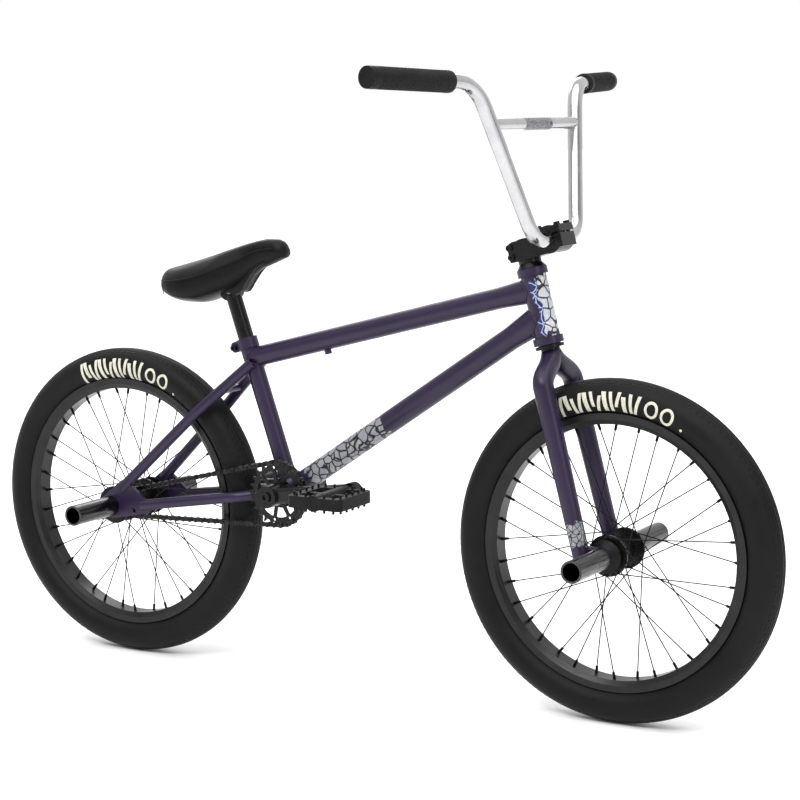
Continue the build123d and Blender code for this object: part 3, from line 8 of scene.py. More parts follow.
import bpy
import numpy as np
from mathutils import Euler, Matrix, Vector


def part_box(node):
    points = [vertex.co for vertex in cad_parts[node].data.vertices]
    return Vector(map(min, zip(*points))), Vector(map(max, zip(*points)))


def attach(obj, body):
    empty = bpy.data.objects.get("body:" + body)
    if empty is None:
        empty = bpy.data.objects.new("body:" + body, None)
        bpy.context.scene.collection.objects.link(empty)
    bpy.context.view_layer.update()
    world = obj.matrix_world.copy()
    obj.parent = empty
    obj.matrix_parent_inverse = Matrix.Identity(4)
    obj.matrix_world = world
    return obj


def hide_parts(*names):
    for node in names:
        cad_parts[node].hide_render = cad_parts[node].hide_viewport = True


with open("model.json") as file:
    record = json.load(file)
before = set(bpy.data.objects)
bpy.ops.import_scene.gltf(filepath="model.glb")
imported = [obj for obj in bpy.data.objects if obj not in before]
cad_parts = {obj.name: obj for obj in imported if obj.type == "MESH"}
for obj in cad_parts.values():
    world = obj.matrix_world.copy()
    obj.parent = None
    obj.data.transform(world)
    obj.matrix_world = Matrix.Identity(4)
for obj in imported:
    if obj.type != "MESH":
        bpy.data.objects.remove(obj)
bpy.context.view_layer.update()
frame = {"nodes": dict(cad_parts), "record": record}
nodes = frame["nodes"]
joints = {joint["name"]: joint for joint in frame["record"]["behaviour"]["joints"]}
MM = 0.001

# ---------------------------------------------------------------- places taken from the record
LEFT = np.array([0.0, 1.0, 0.0])


def joint_point(name):
    """A point on a joint's axis."""
    return np.array(joints[name]["pos_m"])


def joint_axis(name):
    """A joint's axis, of length one."""
    axis = np.array(joints[name]["axis"], dtype=float)
    return axis / np.linalg.norm(axis)


crank_centre = joint_point("crank_spin")
rear_axle = joint_point("rear_wheel_spin")
front_axle = joint_point("front_wheel_spin")
seat_pivot = joint_point("seat_tilt")
seat_up = joint_axis("seat_height")
head_foot = joint_point("steering")
steer_up = joint_axis("steering")
steer_ahead = np.cross(steer_up, -LEFT)

# ---------------------------------------------------------------- sizes of the detailed pieces
top_tube_rear = crank_centre + seat_up * 221.0 * MM
top_tube_front = head_foot + steer_up * 82.5 * MM
down_tube_front = head_foot + steer_up * 41.5 * MM
weld_radius = 2.1 * MM
seam_radius = 0.8 * MM
seam_lift = 2.2 * MM                     # of the seams over the pad's starting shape
stitch_pitch = 3.4 * MM
weld_ripple_pitch = 2.6 * MM

tyre_section_middle = 230.0 * MM
tyre_section_height = 27.0 * MM
tyre_section_half_width = 28.5 * MM
tyre_bead_angle = math.radians(-66.0)
tyre_thickness = 4.0 * MM
tyre_rings = 864
tyre_columns = 96
tread_waves = 72                         # half the number of shoulder cuts round the tyre
rib_grooves = ((0.10, 0.020, 1.3), (0.30, 0.022, 1.3), (0.50, 0.022, 1.2))  # angle, width, depth in mm
wall_line_angles = (0.92, 1.95, 2.12)    # section angles from the crown

mark_start = math.radians(-20.0)         # angles round the wheel from its top, forward positive
mark_bar_count = 13
mark_bar_step = math.radians(2.55)
mark_bar_width = math.radians(1.25)
mark_bar_lean = math.radians(1.3)
mark_short_top = 6.0 * MM                # every fourth bar ends lower, and the one before starts higher
mark_short_foot = 7.0 * MM
mark_ring_angles = (math.radians(16.3), math.radians(22.8))
mark_ring_angle = 0.049                  # a ring's half width, as an angle round the wheel
mark_ring_radius = 13.5 * MM             # its half height
mark_line_angle = 0.020                  # its line's width, as an angle and as a length
mark_line = 4.6 * MM
mark_dot_angle = math.radians(29.6)
mark_dot_half_angle = 0.010
mark_dot_radius = 2.4 * MM
mark_dot_height = 9.0 * MM               # above the marks' inner radius

# Outside radii of the frame's tubes where the weld beads lie.
top_tube_radius = 15.9 * MM
top_tube_front_radius = 17.1 * MM
head_tube_radius = 19.0 * MM
seat_tube_radius = 14.3 * MM
shell_radius = 23.5 * MM
down_tube_front_radius = 18.9 * MM
down_tube_rear_radius = 17.45 * MM
weld_points = 420                        # round each bead

# The crossbar's middle, from the handlebar's front and from its lowest point.
crossbar_behind_front = 46.0 * MM
crossbar_above_foot = 176.0 * MM
crossbar_print_half = 43.0 * MM

grip_length = 162.0 * MM
grip_radius = 15.3 * MM
grip_rib_pitch = 4.2 * MM
grip_rib_depth = 1.3 * MM
grip_rings = 420
grip_columns = 64


# ================================================================ mesh helpers
def unit(vector):
    """Vectors scaled to length one."""
    vector = np.asarray(vector, dtype=float)
    return vector / np.linalg.norm(vector, axis=-1, keepdims=True)


def place(x, y, z):
    """Points from three arrays that broadcast to one shape."""
    return np.stack(np.broadcast_arrays(x, y, z), axis=-1)


def mesh_object(name, points, faces, material):
    """Object at the origin from an array of points and an array of faces, all of one size."""
    mesh = bpy.data.meshes.new(name)
    mesh.from_pydata(points.reshape(-1, 3).tolist(), [], faces.tolist())
    mesh.polygons.foreach_set("use_smooth", np.full(len(mesh.polygons), True))
    mesh.materials.append(material)
    mesh.update()
    piece = bpy.data.objects.new(name, mesh)
    bpy.context.scene.collection.objects.link(piece)
    return piece


def grid_faces(rows, columns, close_rows=False, close_columns=False):
    """Quads joining neighbours of a rows by columns grid, wrapped round where a direction closes."""
    row = np.arange(rows if close_rows else rows - 1)[:, None]
    column = np.arange(columns if close_columns else columns - 1)[None, :]
    next_row = (row + 1) % rows
    next_column = (column + 1) % columns
    corners = [
        row * columns + column, row * columns + next_column,
        next_row * columns + next_column, next_row * columns + column,
    ]
    return np.stack(np.broadcast_arrays(*corners), axis=-1).reshape(-1, 4)


def facing_out(points, faces):
    """Faces in the order that makes the enclosed volume positive."""
    corners = points.reshape(-1, 3)[faces]
    middle = corners.mean(axis=(0, 1))
    a, b, c, d = (corners[:, k] - middle for k in range(4))
    volume = np.einsum("ij,ij->i", a, np.cross(b, c)) + np.einsum("ij,ij->i", a, np.cross(c, d))
    return faces if volume.sum() > 0 else faces[:, ::-1]


def tube_along(path, radius, sides, closed):
    """Round tube: each path point carries a circle square to the path.

    Point (i, j) is path[i] plus radius[i] times (normal[i] cos a_j + binormal[i] sin a_j).
    """
    ahead = np.roll(path, -1, axis=0) - np.roll(path, 1, axis=0)
    if not closed:
        ahead[0] = path[1] - path[0]
        ahead[-1] = path[-1] - path[-2]
    tangent = unit(ahead)
    middle = path.mean(axis=0)
    normal = path - middle
    normal = unit(normal - tangent * np.sum(normal * tangent, axis=1, keepdims=True) + 1e-12)
    binormal = np.cross(tangent, normal)
    angle = np.linspace(0, 2 * np.pi, sides, endpoint=False)
    spread = np.asarray(radius).reshape(-1, 1, 1)
    ring = normal[:, None] * np.cos(angle)[None, :, None] + binormal[:, None] * np.sin(angle)[None, :, None]
    return path[:, None] + spread * ring


def add_piece(name, points, faces, material, body, replaced=()):
    """Makes a piece that rides on a body and takes the place of the CAD nodes given."""
    piece = mesh_object(name, points, faces, material)
    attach(piece, body)
    if replaced:
        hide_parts(*replaced)
    return piece


# ================================================================ node materials
class Finish:
    """A node material with short calls for the nodes that the finishes share."""

    def __init__(self, name):
        self.material = bpy.data.materials.new(name)
        self.material.use_nodes = True
        self.tree = self.material.node_tree
        self.shader = self.tree.nodes["Principled BSDF"]
        self.coordinates = self.node("ShaderNodeTexCoord").outputs["Object"]

    def node(self, kind, **settings):
        made = self.tree.nodes.new(kind)
        for key, value in settings.items():
            setattr(made, key, value)
        return made

    def join(self, source, target):
        self.tree.links.new(source, target)

    def set(self, **values):
        for key, value in values.items():
            self.shader.inputs[key.replace("_", " ")].default_value = value

    def noise(self, scale, detail=4.0, rough=0.5, vector=None):
        made = self.node("ShaderNodeTexNoise")
        made.inputs["Scale"].default_value = scale
        made.inputs["Detail"].default_value = detail
        made.inputs["Roughness"].default_value = rough
        self.join(vector or self.coordinates, made.inputs["Vector"])
        return made.outputs["Fac"]

    def stretched(self, scale):
        made = self.node("ShaderNodeMapping")
        made.inputs["Scale"].default_value = scale
        self.join(self.coordinates, made.inputs["Vector"])
        return made.outputs["Vector"]

    def cells(self, scale, feature="F1", vector=None):
        made = self.node("ShaderNodeTexVoronoi", feature=feature)
        made.inputs["Scale"].default_value = scale
        self.join(vector or self.coordinates, made.inputs["Vector"])
        return made

    def ramp(self, source, stops):
        made = self.node("ShaderNodeValToRGB")
        ramp = made.color_ramp
        while len(ramp.elements) < len(stops):
            ramp.elements.new(0.5)
        for element, (position, colour) in zip(ramp.elements, stops):
            element.position = position
            element.color = (*colour, 1.0) if len(colour) == 3 else colour
        self.join(source, made.inputs["Fac"])
        return made.outputs["Color"]

    def remap(self, source, low, high, to_low, to_high):
        made = self.node("ShaderNodeMapRange")
        for key, value in zip(("From Min", "From Max", "To Min", "To Max"), (low, high, to_low, to_high)):
            made.inputs[key].default_value = value
        self.join(source, made.inputs["Value"])
        return made.outputs["Result"]

    def math(self, operation, first, second):
        made = self.node("ShaderNodeMath", operation=operation)
        for socket, value in zip(made.inputs, (first, second)):
            if isinstance(value, (int, float)):
                socket.default_value = value
            else:
                self.join(value, socket)
        return made.outputs["Value"]

    def mix(self, share, first, second):
        made = self.node("ShaderNodeMix", data_type="RGBA")
        for socket, value in zip((made.inputs[0], made.inputs[6], made.inputs[7]), (share, first, second)):
            if isinstance(value, (int, float)):
                socket.default_value = value
            elif isinstance(value, tuple):
                socket.default_value = (*value, 1.0)
            else:
                self.join(value, socket)
        return made.outputs[2]

    def along(self, origin, direction):
        """Distance from a point along a direction, in metres."""
        offset = self.node("ShaderNodeVectorMath", operation="SUBTRACT")
        offset.inputs[1].default_value = tuple(origin)
        self.join(self.coordinates, offset.inputs[0])
        product = self.node("ShaderNodeVectorMath", operation="DOT_PRODUCT")
        product.inputs[1].default_value = tuple(direction)
        self.join(offset.outputs["Vector"], product.inputs[0])
        return product.outputs["Value"]

    def relief(self, height, strength, distance, edge=0.0):
        """Bump from a height, on top of slightly rounded edges."""
        bump = self.node("ShaderNodeBump")
        bump.inputs["Strength"].default_value = strength
        bump.inputs["Distance"].default_value = distance
        self.join(height, bump.inputs["Height"])
        if edge:
            rounded = self.node("ShaderNodeBevel", samples=4)
            rounded.inputs["Radius"].default_value = edge
            self.join(rounded.outputs["Normal"], bump.inputs["Normal"])
        self.join(bump.outputs["Normal"], self.shader.inputs["Normal"])

    def colour(self, source):
        self.join(source, self.shader.inputs["Base Color"])

    def roughness(self, source):
        self.join(source, self.shader.inputs["Roughness"])


def in_band(finish, source, low, high, soft):
    """1 between low and high, fading to 0 over a short distance outside them."""
    rise = finish.remap(source, low - soft, low + soft, 0.0, 1.0)
    fall = finish.remap(source, high - soft, high + soft, 1.0, 0.0)
    return finish.math("MULTIPLY", rise, fall)


def paint_base(finish):
    """Matte dark purple paint: slow tint change, fine orange peel and faint handling marks."""
    finish.set(Metallic=0.0, IOR=1.5)
    finish.shader.inputs["Specular IOR Level"].default_value = 0.36
    tint = finish.ramp(finish.noise(9.0, 3.0), [
        (0.3, (0.0105, 0.0048, 0.0235)), (0.7, (0.0160, 0.0076, 0.0335)),
    ])
    marks = finish.noise(60.0, 6.0, 0.7, finish.stretched((1.0, 3.0, 1.0)))
    finish.roughness(finish.remap(marks, 0.35, 0.75, 0.33, 0.45))
    finish.relief(finish.noise(1800.0, 2.0), 0.12, 0.0002, edge=0.0008)
    return tint


def purple_paint():
    """Plain purple paint, without a print."""
    finish = Finish("purple_paint")
    finish.colour(paint_base(finish))
    return finish.material


def cracked_print(name, origin, direction, low, high, side, side_limit, scale, pale, blue_limit=None):
    """Purple paint with a printed band of pale cells split by dark cracks.

    The band lies between low and high along the direction, on the side where the distance from the origin
    along side is above side_limit.  With a blue_limit, a dark blue strip with pale lines runs on from there.
    """
    finish = Finish(name)
    paint = paint_base(finish)
    warp = finish.node("ShaderNodeVectorMath", operation="ADD")
    bend = finish.node("ShaderNodeTexNoise")
    bend.inputs["Scale"].default_value = 45.0
    finish.join(finish.coordinates, bend.inputs["Vector"])
    small = finish.node("ShaderNodeVectorMath", operation="SCALE")
    small.inputs["Scale"].default_value = 0.012
    finish.join(bend.outputs["Color"], small.inputs[0])
    finish.join(finish.coordinates, warp.inputs[0])
    finish.join(small.outputs["Vector"], warp.inputs[1])
    edges = finish.cells(scale, "DISTANCE_TO_EDGE", warp.outputs["Vector"]).outputs["Distance"]
    tone = finish.cells(scale, "F1", warp.outputs["Vector"]).outputs["Color"]
    cell = finish.ramp(tone, [
        (0.0, (pale * 0.62, pale * 0.68, pale * 0.80)), (1.0, (pale, pale * 0.98, pale)),
    ])
    streaks = finish.noise(420.0, 3.0, 0.7, finish.stretched((1.0, 1.0, 0.25)))
    streaks = finish.remap(streaks, 0.35, 0.65, 0.0, 0.45)
    cell = finish.mix(streaks, cell, (pale * 0.2, pale * 0.22, pale * 0.28))
    line = finish.remap(edges, 0.05, 0.10, 0.0, 1.0)
    printed = finish.mix(line, (0.004, 0.0035, 0.006), cell)
    ragged = finish.math("ADD", finish.along(origin, direction),
                         finish.remap(finish.noise(70.0, 2.0), 0.3, 0.7, -0.006, 0.006))
    mask = in_band(finish, ragged, low, high, 0.0004)
    facing = finish.along(origin, side)
    wobble = finish.math("ADD", facing, finish.remap(finish.noise(50.0, 2.0), 0.3, 0.7, -0.004, 0.004))
    if blue_limit is not None:
        lines = finish.remap(edges, 0.03, 0.05, 1.0, 0.0)
        blue = finish.mix(lines, (0.012, 0.022, 0.085), (0.35, 0.40, 0.60))
        beyond = finish.remap(wobble, side_limit - 0.0004, side_limit + 0.0004, 0.0, 1.0)
        printed = finish.mix(beyond, blue, printed)
        side_limit = blue_limit
    inside = finish.remap(wobble, side_limit - 0.0005, side_limit + 0.0005, 0.0, 1.0)
    mask = finish.math("MULTIPLY", mask, inside)
    finish.colour(finish.mix(mask, paint, printed))
    return finish.material


def black_metal():
    """Black paint and anodising with soft gloss, dust in the low places and worn edges."""
    finish = Finish("black_metal")
    finish.set(Metallic=0.0, IOR=1.5)
    finish.shader.inputs["Specular IOR Level"].default_value = 0.20
    finish.colour(finish.ramp(finish.noise(30.0, 5.0), [
        (0.35, (0.0030, 0.0030, 0.0033)), (0.7, (0.0070, 0.0070, 0.0075)),
    ]))
    finish.roughness(finish.remap(finish.noise(140.0, 5.0, 0.6), 0.3, 0.75, 0.22, 0.36))
    finish.relief(finish.noise(2200.0, 2.0), 0.10, 0.0002, edge=0.0009)
    return finish.material


def rim_black():
    """Anodised rim: circular machining lines round each wheel's axis."""
    finish = Finish("rim_black")
    finish.set(Metallic=0.0)
    finish.shader.inputs["Specular IOR Level"].default_value = 0.25
    finish.colour(finish.ramp(finish.noise(40.0, 4.0), [
        (0.3, (0.005, 0.005, 0.0055)), (0.7, (0.010, 0.010, 0.0105)),
    ]))
    lines = finish.noise(900.0, 2.0, 0.5, finish.stretched((0.03, 1.0, 0.03)))
    finish.roughness(finish.remap(lines, 0.3, 0.7, 0.24, 0.38))
    finish.relief(lines, 0.15, 0.0001, edge=0.0006)
    return finish.material


def brushed(name, dark, pale, rough_low, rough_high):
    """Plain steel with fine turned lines and slight oil staining."""
    finish = Finish(name)
    finish.set(Metallic=1.0)
    finish.colour(finish.ramp(finish.noise(70.0, 5.0), [(0.3, dark), (0.75, pale)]))
    lines = finish.noise(1500.0, 2.0, 0.5, finish.stretched((1.0, 0.05, 1.0)))
    finish.roughness(finish.remap(lines, 0.3, 0.7, rough_low, rough_high))
    finish.relief(lines, 0.12, 0.0001, edge=0.0004)
    return finish.material


def chrome():
    """Bright plated tube: faint waviness, haze and a few water marks."""
    finish = Finish("bar_chrome")
    finish.set(Metallic=1.0)
    haze = finish.noise(35.0, 6.0, 0.65)
    finish.colour(finish.ramp(haze, [(0.3, (0.40, 0.40, 0.41)), (0.7, (0.50, 0.50, 0.51))]))
    finish.roughness(finish.remap(haze, 0.35, 0.75, 0.10, 0.22))
    finish.relief(finish.noise(120.0, 3.0), 0.04, 0.0003, edge=0.0005)
    return finish.material


def chrome_with_print(origin, direction, half_length):
    """Chrome bar with a printed patch in the middle of the crossbar."""
    finish = Finish("bar_chrome_print")
    finish.set(Metallic=1.0)
    haze = finish.noise(35.0, 6.0, 0.65)
    metal = finish.ramp(haze, [(0.3, (0.40, 0.40, 0.41)), (0.7, (0.50, 0.50, 0.51))])
    cells = finish.cells(190.0, "DISTANCE_TO_EDGE").outputs["Distance"]
    printed = finish.mix(finish.remap(cells, 0.04, 0.09, 0.0, 1.0), (0.01, 0.01, 0.012), (0.16, 0.16, 0.18))
    sideways = finish.along(origin, direction)
    above = finish.along(origin, (0.0, 0.0, 1.0))
    mask = finish.math("MULTIPLY", in_band(finish, sideways, -half_length, half_length, 0.0005),
                       in_band(finish, above, -0.012, 0.012, 0.0005))
    finish.colour(finish.mix(mask, metal, printed))
    finish.join(finish.math("SUBTRACT", 1.0, mask), finish.shader.inputs["Metallic"])
    finish.roughness(finish.math("MAXIMUM", finish.remap(haze, 0.35, 0.75, 0.10, 0.22),
                                 finish.math("MULTIPLY", mask, 0.35)))
    finish.relief(finish.noise(120.0, 3.0), 0.04, 0.0003, edge=0.0005)
    return finish.material


def dark_chrome():
    """Black chrome peg: lengthwise drawing lines and end scuffs."""
    finish = Finish("dark_chrome")
    finish.set(Metallic=1.0)
    lines = finish.noise(700.0, 3.0, 0.6, finish.stretched((1.0, 0.02, 1.0)))
    finish.colour(finish.ramp(lines, [(0.35, (0.016, 0.015, 0.016)), (0.7, (0.110, 0.105, 0.112))]))
    finish.roughness(finish.remap(finish.noise(60.0, 5.0), 0.3, 0.7, 0.14, 0.30))
    finish.relief(lines, 0.2, 0.0001, edge=0.0006)
    return finish.material


def spoke_black():
    """Painted wire: thin black with small lighter rubs."""
    finish = Finish("spoke_black")
    finish.set(Metallic=0.0)
    finish.shader.inputs["Specular IOR Level"].default_value = 0.10
    finish.colour(finish.ramp(finish.noise(220.0, 3.0), [
        (0.55, (0.003, 0.003, 0.0035)), (0.85, (0.012, 0.012, 0.013)),
    ]))
    finish.roughness(finish.remap(finish.noise(400.0, 2.0), 0.3, 0.7, 0.3, 0.5))
    finish.relief(finish.noise(900.0, 2.0), 0.1, 0.0001)
    return finish.material


def chain_black():
    """Oiled black chain with lighter rub marks on its plates."""
    finish = Finish("chain_black")
    finish.set(Metallic=0.8)
    finish.colour(finish.ramp(finish.noise(260.0, 5.0, 0.6), [
        (0.4, (0.006, 0.006, 0.006)), (0.8, (0.05, 0.048, 0.046)),
    ]))
    finish.roughness(finish.remap(finish.noise(500.0, 3.0), 0.3, 0.7, 0.25, 0.5))
    finish.relief(finish.noise(900.0, 3.0), 0.2, 0.0001, edge=0.0003)
    return finish.material


def tyre_rubber():
    """Vulcanised rubber: fine grain, faint bloom and dust where it rolls."""
    finish = Finish("tyre_rubber")
    finish.set(Metallic=0.0, IOR=1.5)
    finish.shader.inputs["Specular IOR Level"].default_value = 0.14
    bloom = finish.noise(18.0, 6.0, 0.65)
    finish.colour(finish.ramp(bloom, [(0.35, (0.0035, 0.0034, 0.0034)), (0.75, (0.0075, 0.0072, 0.0070))]))
    finish.roughness(finish.remap(bloom, 0.3, 0.75, 0.46, 0.64))
    finish.relief(finish.noise(2600.0, 3.0, 0.6), 0.25, 0.0002)
    return finish.material


def soft_rubber(name, low, high, grain):
    """Grip and tube rubber with a fine grain."""
    finish = Finish(name)
    finish.set(Metallic=0.0)
    finish.shader.inputs["Specular IOR Level"].default_value = 0.18
    finish.colour(finish.ramp(finish.noise(50.0, 4.0), [(0.3, low), (0.75, high)]))
    finish.roughness(finish.remap(finish.noise(300.0, 4.0), 0.3, 0.7, 0.5, 0.68))
    finish.relief(finish.noise(grain, 3.0), 0.3, 0.0002, edge=0.0004)
    return finish.material


def moulded_plastic(name, low, high):
    """Moulded plastic with spark-eroded grain."""
    finish = Finish(name)
    finish.set(Metallic=0.0)
    finish.shader.inputs["Specular IOR Level"].default_value = 0.13
    finish.colour(finish.ramp(finish.noise(45.0, 4.0), [(0.3, low), (0.75, high)]))
    finish.roughness(finish.remap(finish.noise(220.0, 4.0), 0.3, 0.7, 0.38, 0.55))
    finish.relief(finish.cells(1500.0).outputs["Distance"], 0.25, 0.0002, edge=0.0008)
    return finish.material


def seat_cover():
    """Padded cover: close woven grain with soft sheen and wear along the top."""
    finish = Finish("seat_cover")
    finish.set(Metallic=0.0)
    finish.shader.inputs["Sheen Weight"].default_value = 0.02
    finish.shader.inputs["Sheen Roughness"].default_value = 0.4
    finish.shader.inputs["Specular IOR Level"].default_value = 0.13
    wear = finish.noise(24.0, 5.0, 0.6)
    finish.colour(finish.ramp(wear, [(0.3, (0.0030, 0.0030, 0.0033)), (0.8, (0.0068, 0.0068, 0.0072))]))
    finish.roughness(finish.remap(wear, 0.3, 0.7, 0.30, 0.46))
    weave = finish.math("ADD", finish.cells(900.0).outputs["Distance"], finish.noise(1600.0, 2.0))
    finish.relief(weave, 0.3, 0.00025)
    return finish.material


def cream_print():
    """Moulded cream marks on the tyre wall, slightly dusty."""
    finish = Finish("cream_print")
    finish.colour(finish.ramp(finish.noise(160.0, 6.0, 0.7), [
        (0.3, (0.42, 0.41, 0.33)), (0.7, (0.68, 0.66, 0.56)),
    ]))
    finish.roughness(finish.remap(finish.noise(400.0, 3.0), 0.3, 0.7, 0.55, 0.75))
    finish.relief(finish.noise(1400.0, 3.0), 0.3, 0.0002)
    return finish.material


def plain_floor():
    """Pale studio floor with the faintest unevenness."""
    finish = Finish("studio_floor")
    finish.colour(finish.ramp(finish.noise(1.5, 2.0), [(0.3, (0.93, 0.93, 0.93)), (0.7, (0.95, 0.95, 0.95))]))
    finish.roughness(finish.remap(finish.noise(8.0, 3.0), 0.3, 0.7, 0.7, 0.8))
    return finish.material


down_run = unit(down_tube_front - crank_centre)
down_print_side = unit(np.cross(-LEFT, down_run) * 0.35 - LEFT)  # the right side, turned a little upward
finishes = {
    "purple_paint": purple_paint(),
    "black_metal": black_metal(),
    "bearing_steel": brushed("bearing_steel", (0.16, 0.16, 0.165), (0.34, 0.34, 0.35), 0.22, 0.4),
    "dark_chrome": dark_chrome(),
    "bar_chrome": chrome(),
    "spoke_black": spoke_black(),
    "chain_black": chain_black(),
    "tyre_rubber": tyre_rubber(),
    "tube_rubber": soft_rubber("tube_rubber", (0.015, 0.015, 0.015), (0.03, 0.03, 0.03), 900.0),
    "grip_rubber": soft_rubber("grip_rubber", (0.0040, 0.0040, 0.0043), (0.0085, 0.0085, 0.0090), 1400.0),
    "black_plastic": moulded_plastic("black_plastic", (0.0035, 0.0035, 0.0038), (0.0075, 0.0075, 0.0080)),
    "pedal_plastic": moulded_plastic("pedal_plastic", (0.0045, 0.0045, 0.0050), (0.0095, 0.0095, 0.0100)),
    "seat_fabric": seat_cover(),
}
slot_of = {part["node"]: part["material_slot"] for part in frame["record"]["subparts"]}


def paint_node(name, material):
    """Gives a CAD node one material and no other."""
    mesh = nodes[name].data
    mesh.materials.clear()
    mesh.materials.append(material)
    for holder in nodes[name].material_slots:
        holder.material = material


def paint_cad_nodes():
    """Every CAD node takes its slot's finish; the printed tubes, rims and bar have their own."""
    for name in nodes:
        paint_node(name, finishes[slot_of[name]])
    anodised = rim_black()
    paint_node("front_rim", anodised)
    paint_node("rear_rim", anodised)
    paint_node("down_tube", cracked_print(
        "down_tube_print", crank_centre, down_run, low=0.050, high=0.216,
        side=down_print_side, side_limit=-0.006, scale=68.0, pale=0.34))
    paint_node("head_tube", cracked_print(
        "head_tube_print", head_foot, steer_up, low=0.0135, high=0.1005,
        side=steer_ahead, side_limit=0.0095, scale=75.0, pale=0.62, blue_limit=0.0015))
    paint_node("fork_legs", cracked_print(
        "fork_print", front_axle, steer_up, low=0.026, high=0.058,
        side=-LEFT, side_limit=0.054, scale=150.0, pale=0.34))
    bar_low, bar_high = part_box("handlebar")
    crossbar = np.array([bar_high[0] - crossbar_behind_front, 0.0, bar_low[2] + crossbar_above_foot])
    paint_node("handlebar", chrome_with_print(crossbar, LEFT, crossbar_print_half))


# ================================================================ tyres
def tyre_point(centre, angle, section, lift):
    """Point on a tyre: an ellipse section carried round the wheel.

    Radius is the section's middle plus its height times sin(section); the side offset is its half
    width times cos(section); lift moves the point out along the section's own radius.
    """
    radius = tyre_section_middle + (tyre_section_height + lift) * np.sin(section)
    side = (tyre_section_half_width + lift) * np.cos(section)
    return place(centre[0] + radius * np.cos(angle), centre[1] + side, centre[2] + radius * np.sin(angle))


def tread_relief(angle, section):
    """Depth of the pattern: four ribs round the crown, a zigzag groove at each shoulder.

    Each groove is a smooth notch, exp(-(distance / width) ** 4); the zigzag's middle swings as a triangle
    wave of the wheel angle.  The side wall has three fine raised lines.
    """
    side = np.abs(section - np.pi / 2)
    zigzag = 2 / np.pi * np.arcsin(np.sin(angle * tread_waves))
    relief = np.zeros(np.broadcast(angle, section).shape)
    for middle, width, depth in rib_grooves:
        relief = relief - depth * MM * np.exp(-((side - middle) / width) ** 4)
    relief = relief - 1.0 * MM * np.exp(-((side - 0.70 - 0.045 * zigzag) / 0.022) ** 4)
    cross_cut = np.exp(-((np.mod(angle * tread_waves / np.pi, 1.0) - 0.5) / 0.14) ** 4)
    relief = relief - 0.9 * MM * cross_cut * np.exp(-((side - 0.60) / 0.085) ** 8)
    for middle in wall_line_angles:
        relief = relief + 0.25 * MM * np.exp(-((side - middle) / 0.018) ** 2)
    return relief - 0.3 * MM


def tyre_shell(name, centre, body, replaced):
    """Closed casing: the patterned outside from bead to bead, then a plain inside back again."""
    angle = np.linspace(0, 2 * np.pi, tyre_rings, endpoint=False)[:, None]
    section = np.linspace(tyre_bead_angle, np.pi - tyre_bead_angle, tyre_columns)[None, :]
    outside = tyre_point(centre, angle, section, tread_relief(angle, section))
    inner_section = np.linspace(np.pi - tyre_bead_angle, tyre_bead_angle, 10)[None, :]
    inside = tyre_point(centre, angle, inner_section, np.full(inner_section.shape, -tyre_thickness))
    points = np.concatenate([outside, inside], axis=1)
    faces = facing_out(points, grid_faces(points.shape[0], points.shape[1], True, True))
    return add_piece(name, points, faces, finishes["tyre_rubber"], body, replaced)


def wall_patch(centre, side, angle_of, section_of, rows, columns):
    """Closed thin patch on a tyre's wall; its outline comes from two functions of (s, t) in 0..1."""
    s, t = np.meshgrid(np.linspace(0, 1, rows), np.linspace(0, 1, columns), indexing="ij")
    lift = np.where((t > 0.01) & (t < 0.99), 0.30 * MM, -0.6 * MM)
    section = section_of(s, t)
    section = section if side > 0 else np.pi - section
    return tyre_point(centre, angle_of(s, t), section, lift)


def wall_marks(name, centre, low, high, body):
    """Cream marks on both walls, as seen from outside: leaning bars, then two plain rings and a dot.

    low and high are the radii the marks lie between.  On the right wall the row starts behind the top of
    the wheel and runs forward; on the left wall it's the same row turned round, so it reads the same way.
    """
    patches = []
    faces = []

    def section_at(radius):
        return np.arcsin((radius - tyre_section_middle) / tyre_section_height)

    def add(side, angle_of, radius_of, rows, columns):
        def angle_on_side(s, t):
            return np.pi / 2 + side * angle_of(s, t)

        def section_on_side(s, t):
            return section_at(radius_of(s, t))

        patch = wall_patch(centre, side, angle_on_side, section_on_side, rows, columns)
        quads = grid_faces(rows, columns) + sum(len(p) for p in patches)
        corners = patch.reshape(-1, 3)[grid_faces(rows, columns)]
        turn = np.cross(corners[:, 1] - corners[:, 0], corners[:, 3] - corners[:, 0]).sum(axis=0)
        faces.append(quads if turn[1] * side > 0 else quads[:, ::-1])
        patches.append(patch.reshape(-1, 3))

    middle = (low + high) / 2
    for side in (-1, 1):
        for index in range(mark_bar_count):
            start = mark_start + index * mark_bar_step
            lean = mark_bar_lean * (1 if index % 3 == 0 else -0.6)
            top = high - (index % 4 == 2) * mark_short_top
            foot = low + (index % 4 == 1) * mark_short_foot
            width = mark_bar_width * (1.35 if index % 3 == 1 else 1.0)
            add(side, lambda s, t: start + width * (s - 0.5) + lean * (t - 0.5),
                lambda s, t: foot + (top - foot) * t, 8, 12)
        for ring in mark_ring_angles:
            add(side,
                lambda s, t: ring + (mark_ring_angle + mark_line_angle * (t - 1)) * np.cos(2 * np.pi * s),
                lambda s, t: middle + (mark_ring_radius + mark_line * (t - 1)) * np.sin(2 * np.pi * s), 49, 8)
        add(side,
            lambda s, t: mark_dot_angle + mark_dot_half_angle * t * np.cos(2 * np.pi * s),
            lambda s, t: low + mark_dot_height + mark_dot_radius * t * np.sin(2 * np.pi * s), 25, 6)
    return add_piece(name, np.concatenate(patches), np.concatenate(faces), cream_print(), body)


# ================================================================ grips
def node_points(name, side):
    """Points of a CAD node on one side of the middle plane."""
    mesh = nodes[name].data
    points = np.empty(len(mesh.vertices) * 3)
    mesh.vertices.foreach_get("co", points)
    points = points.reshape(-1, 3)
    return points[points[:, 1] * side > 0]


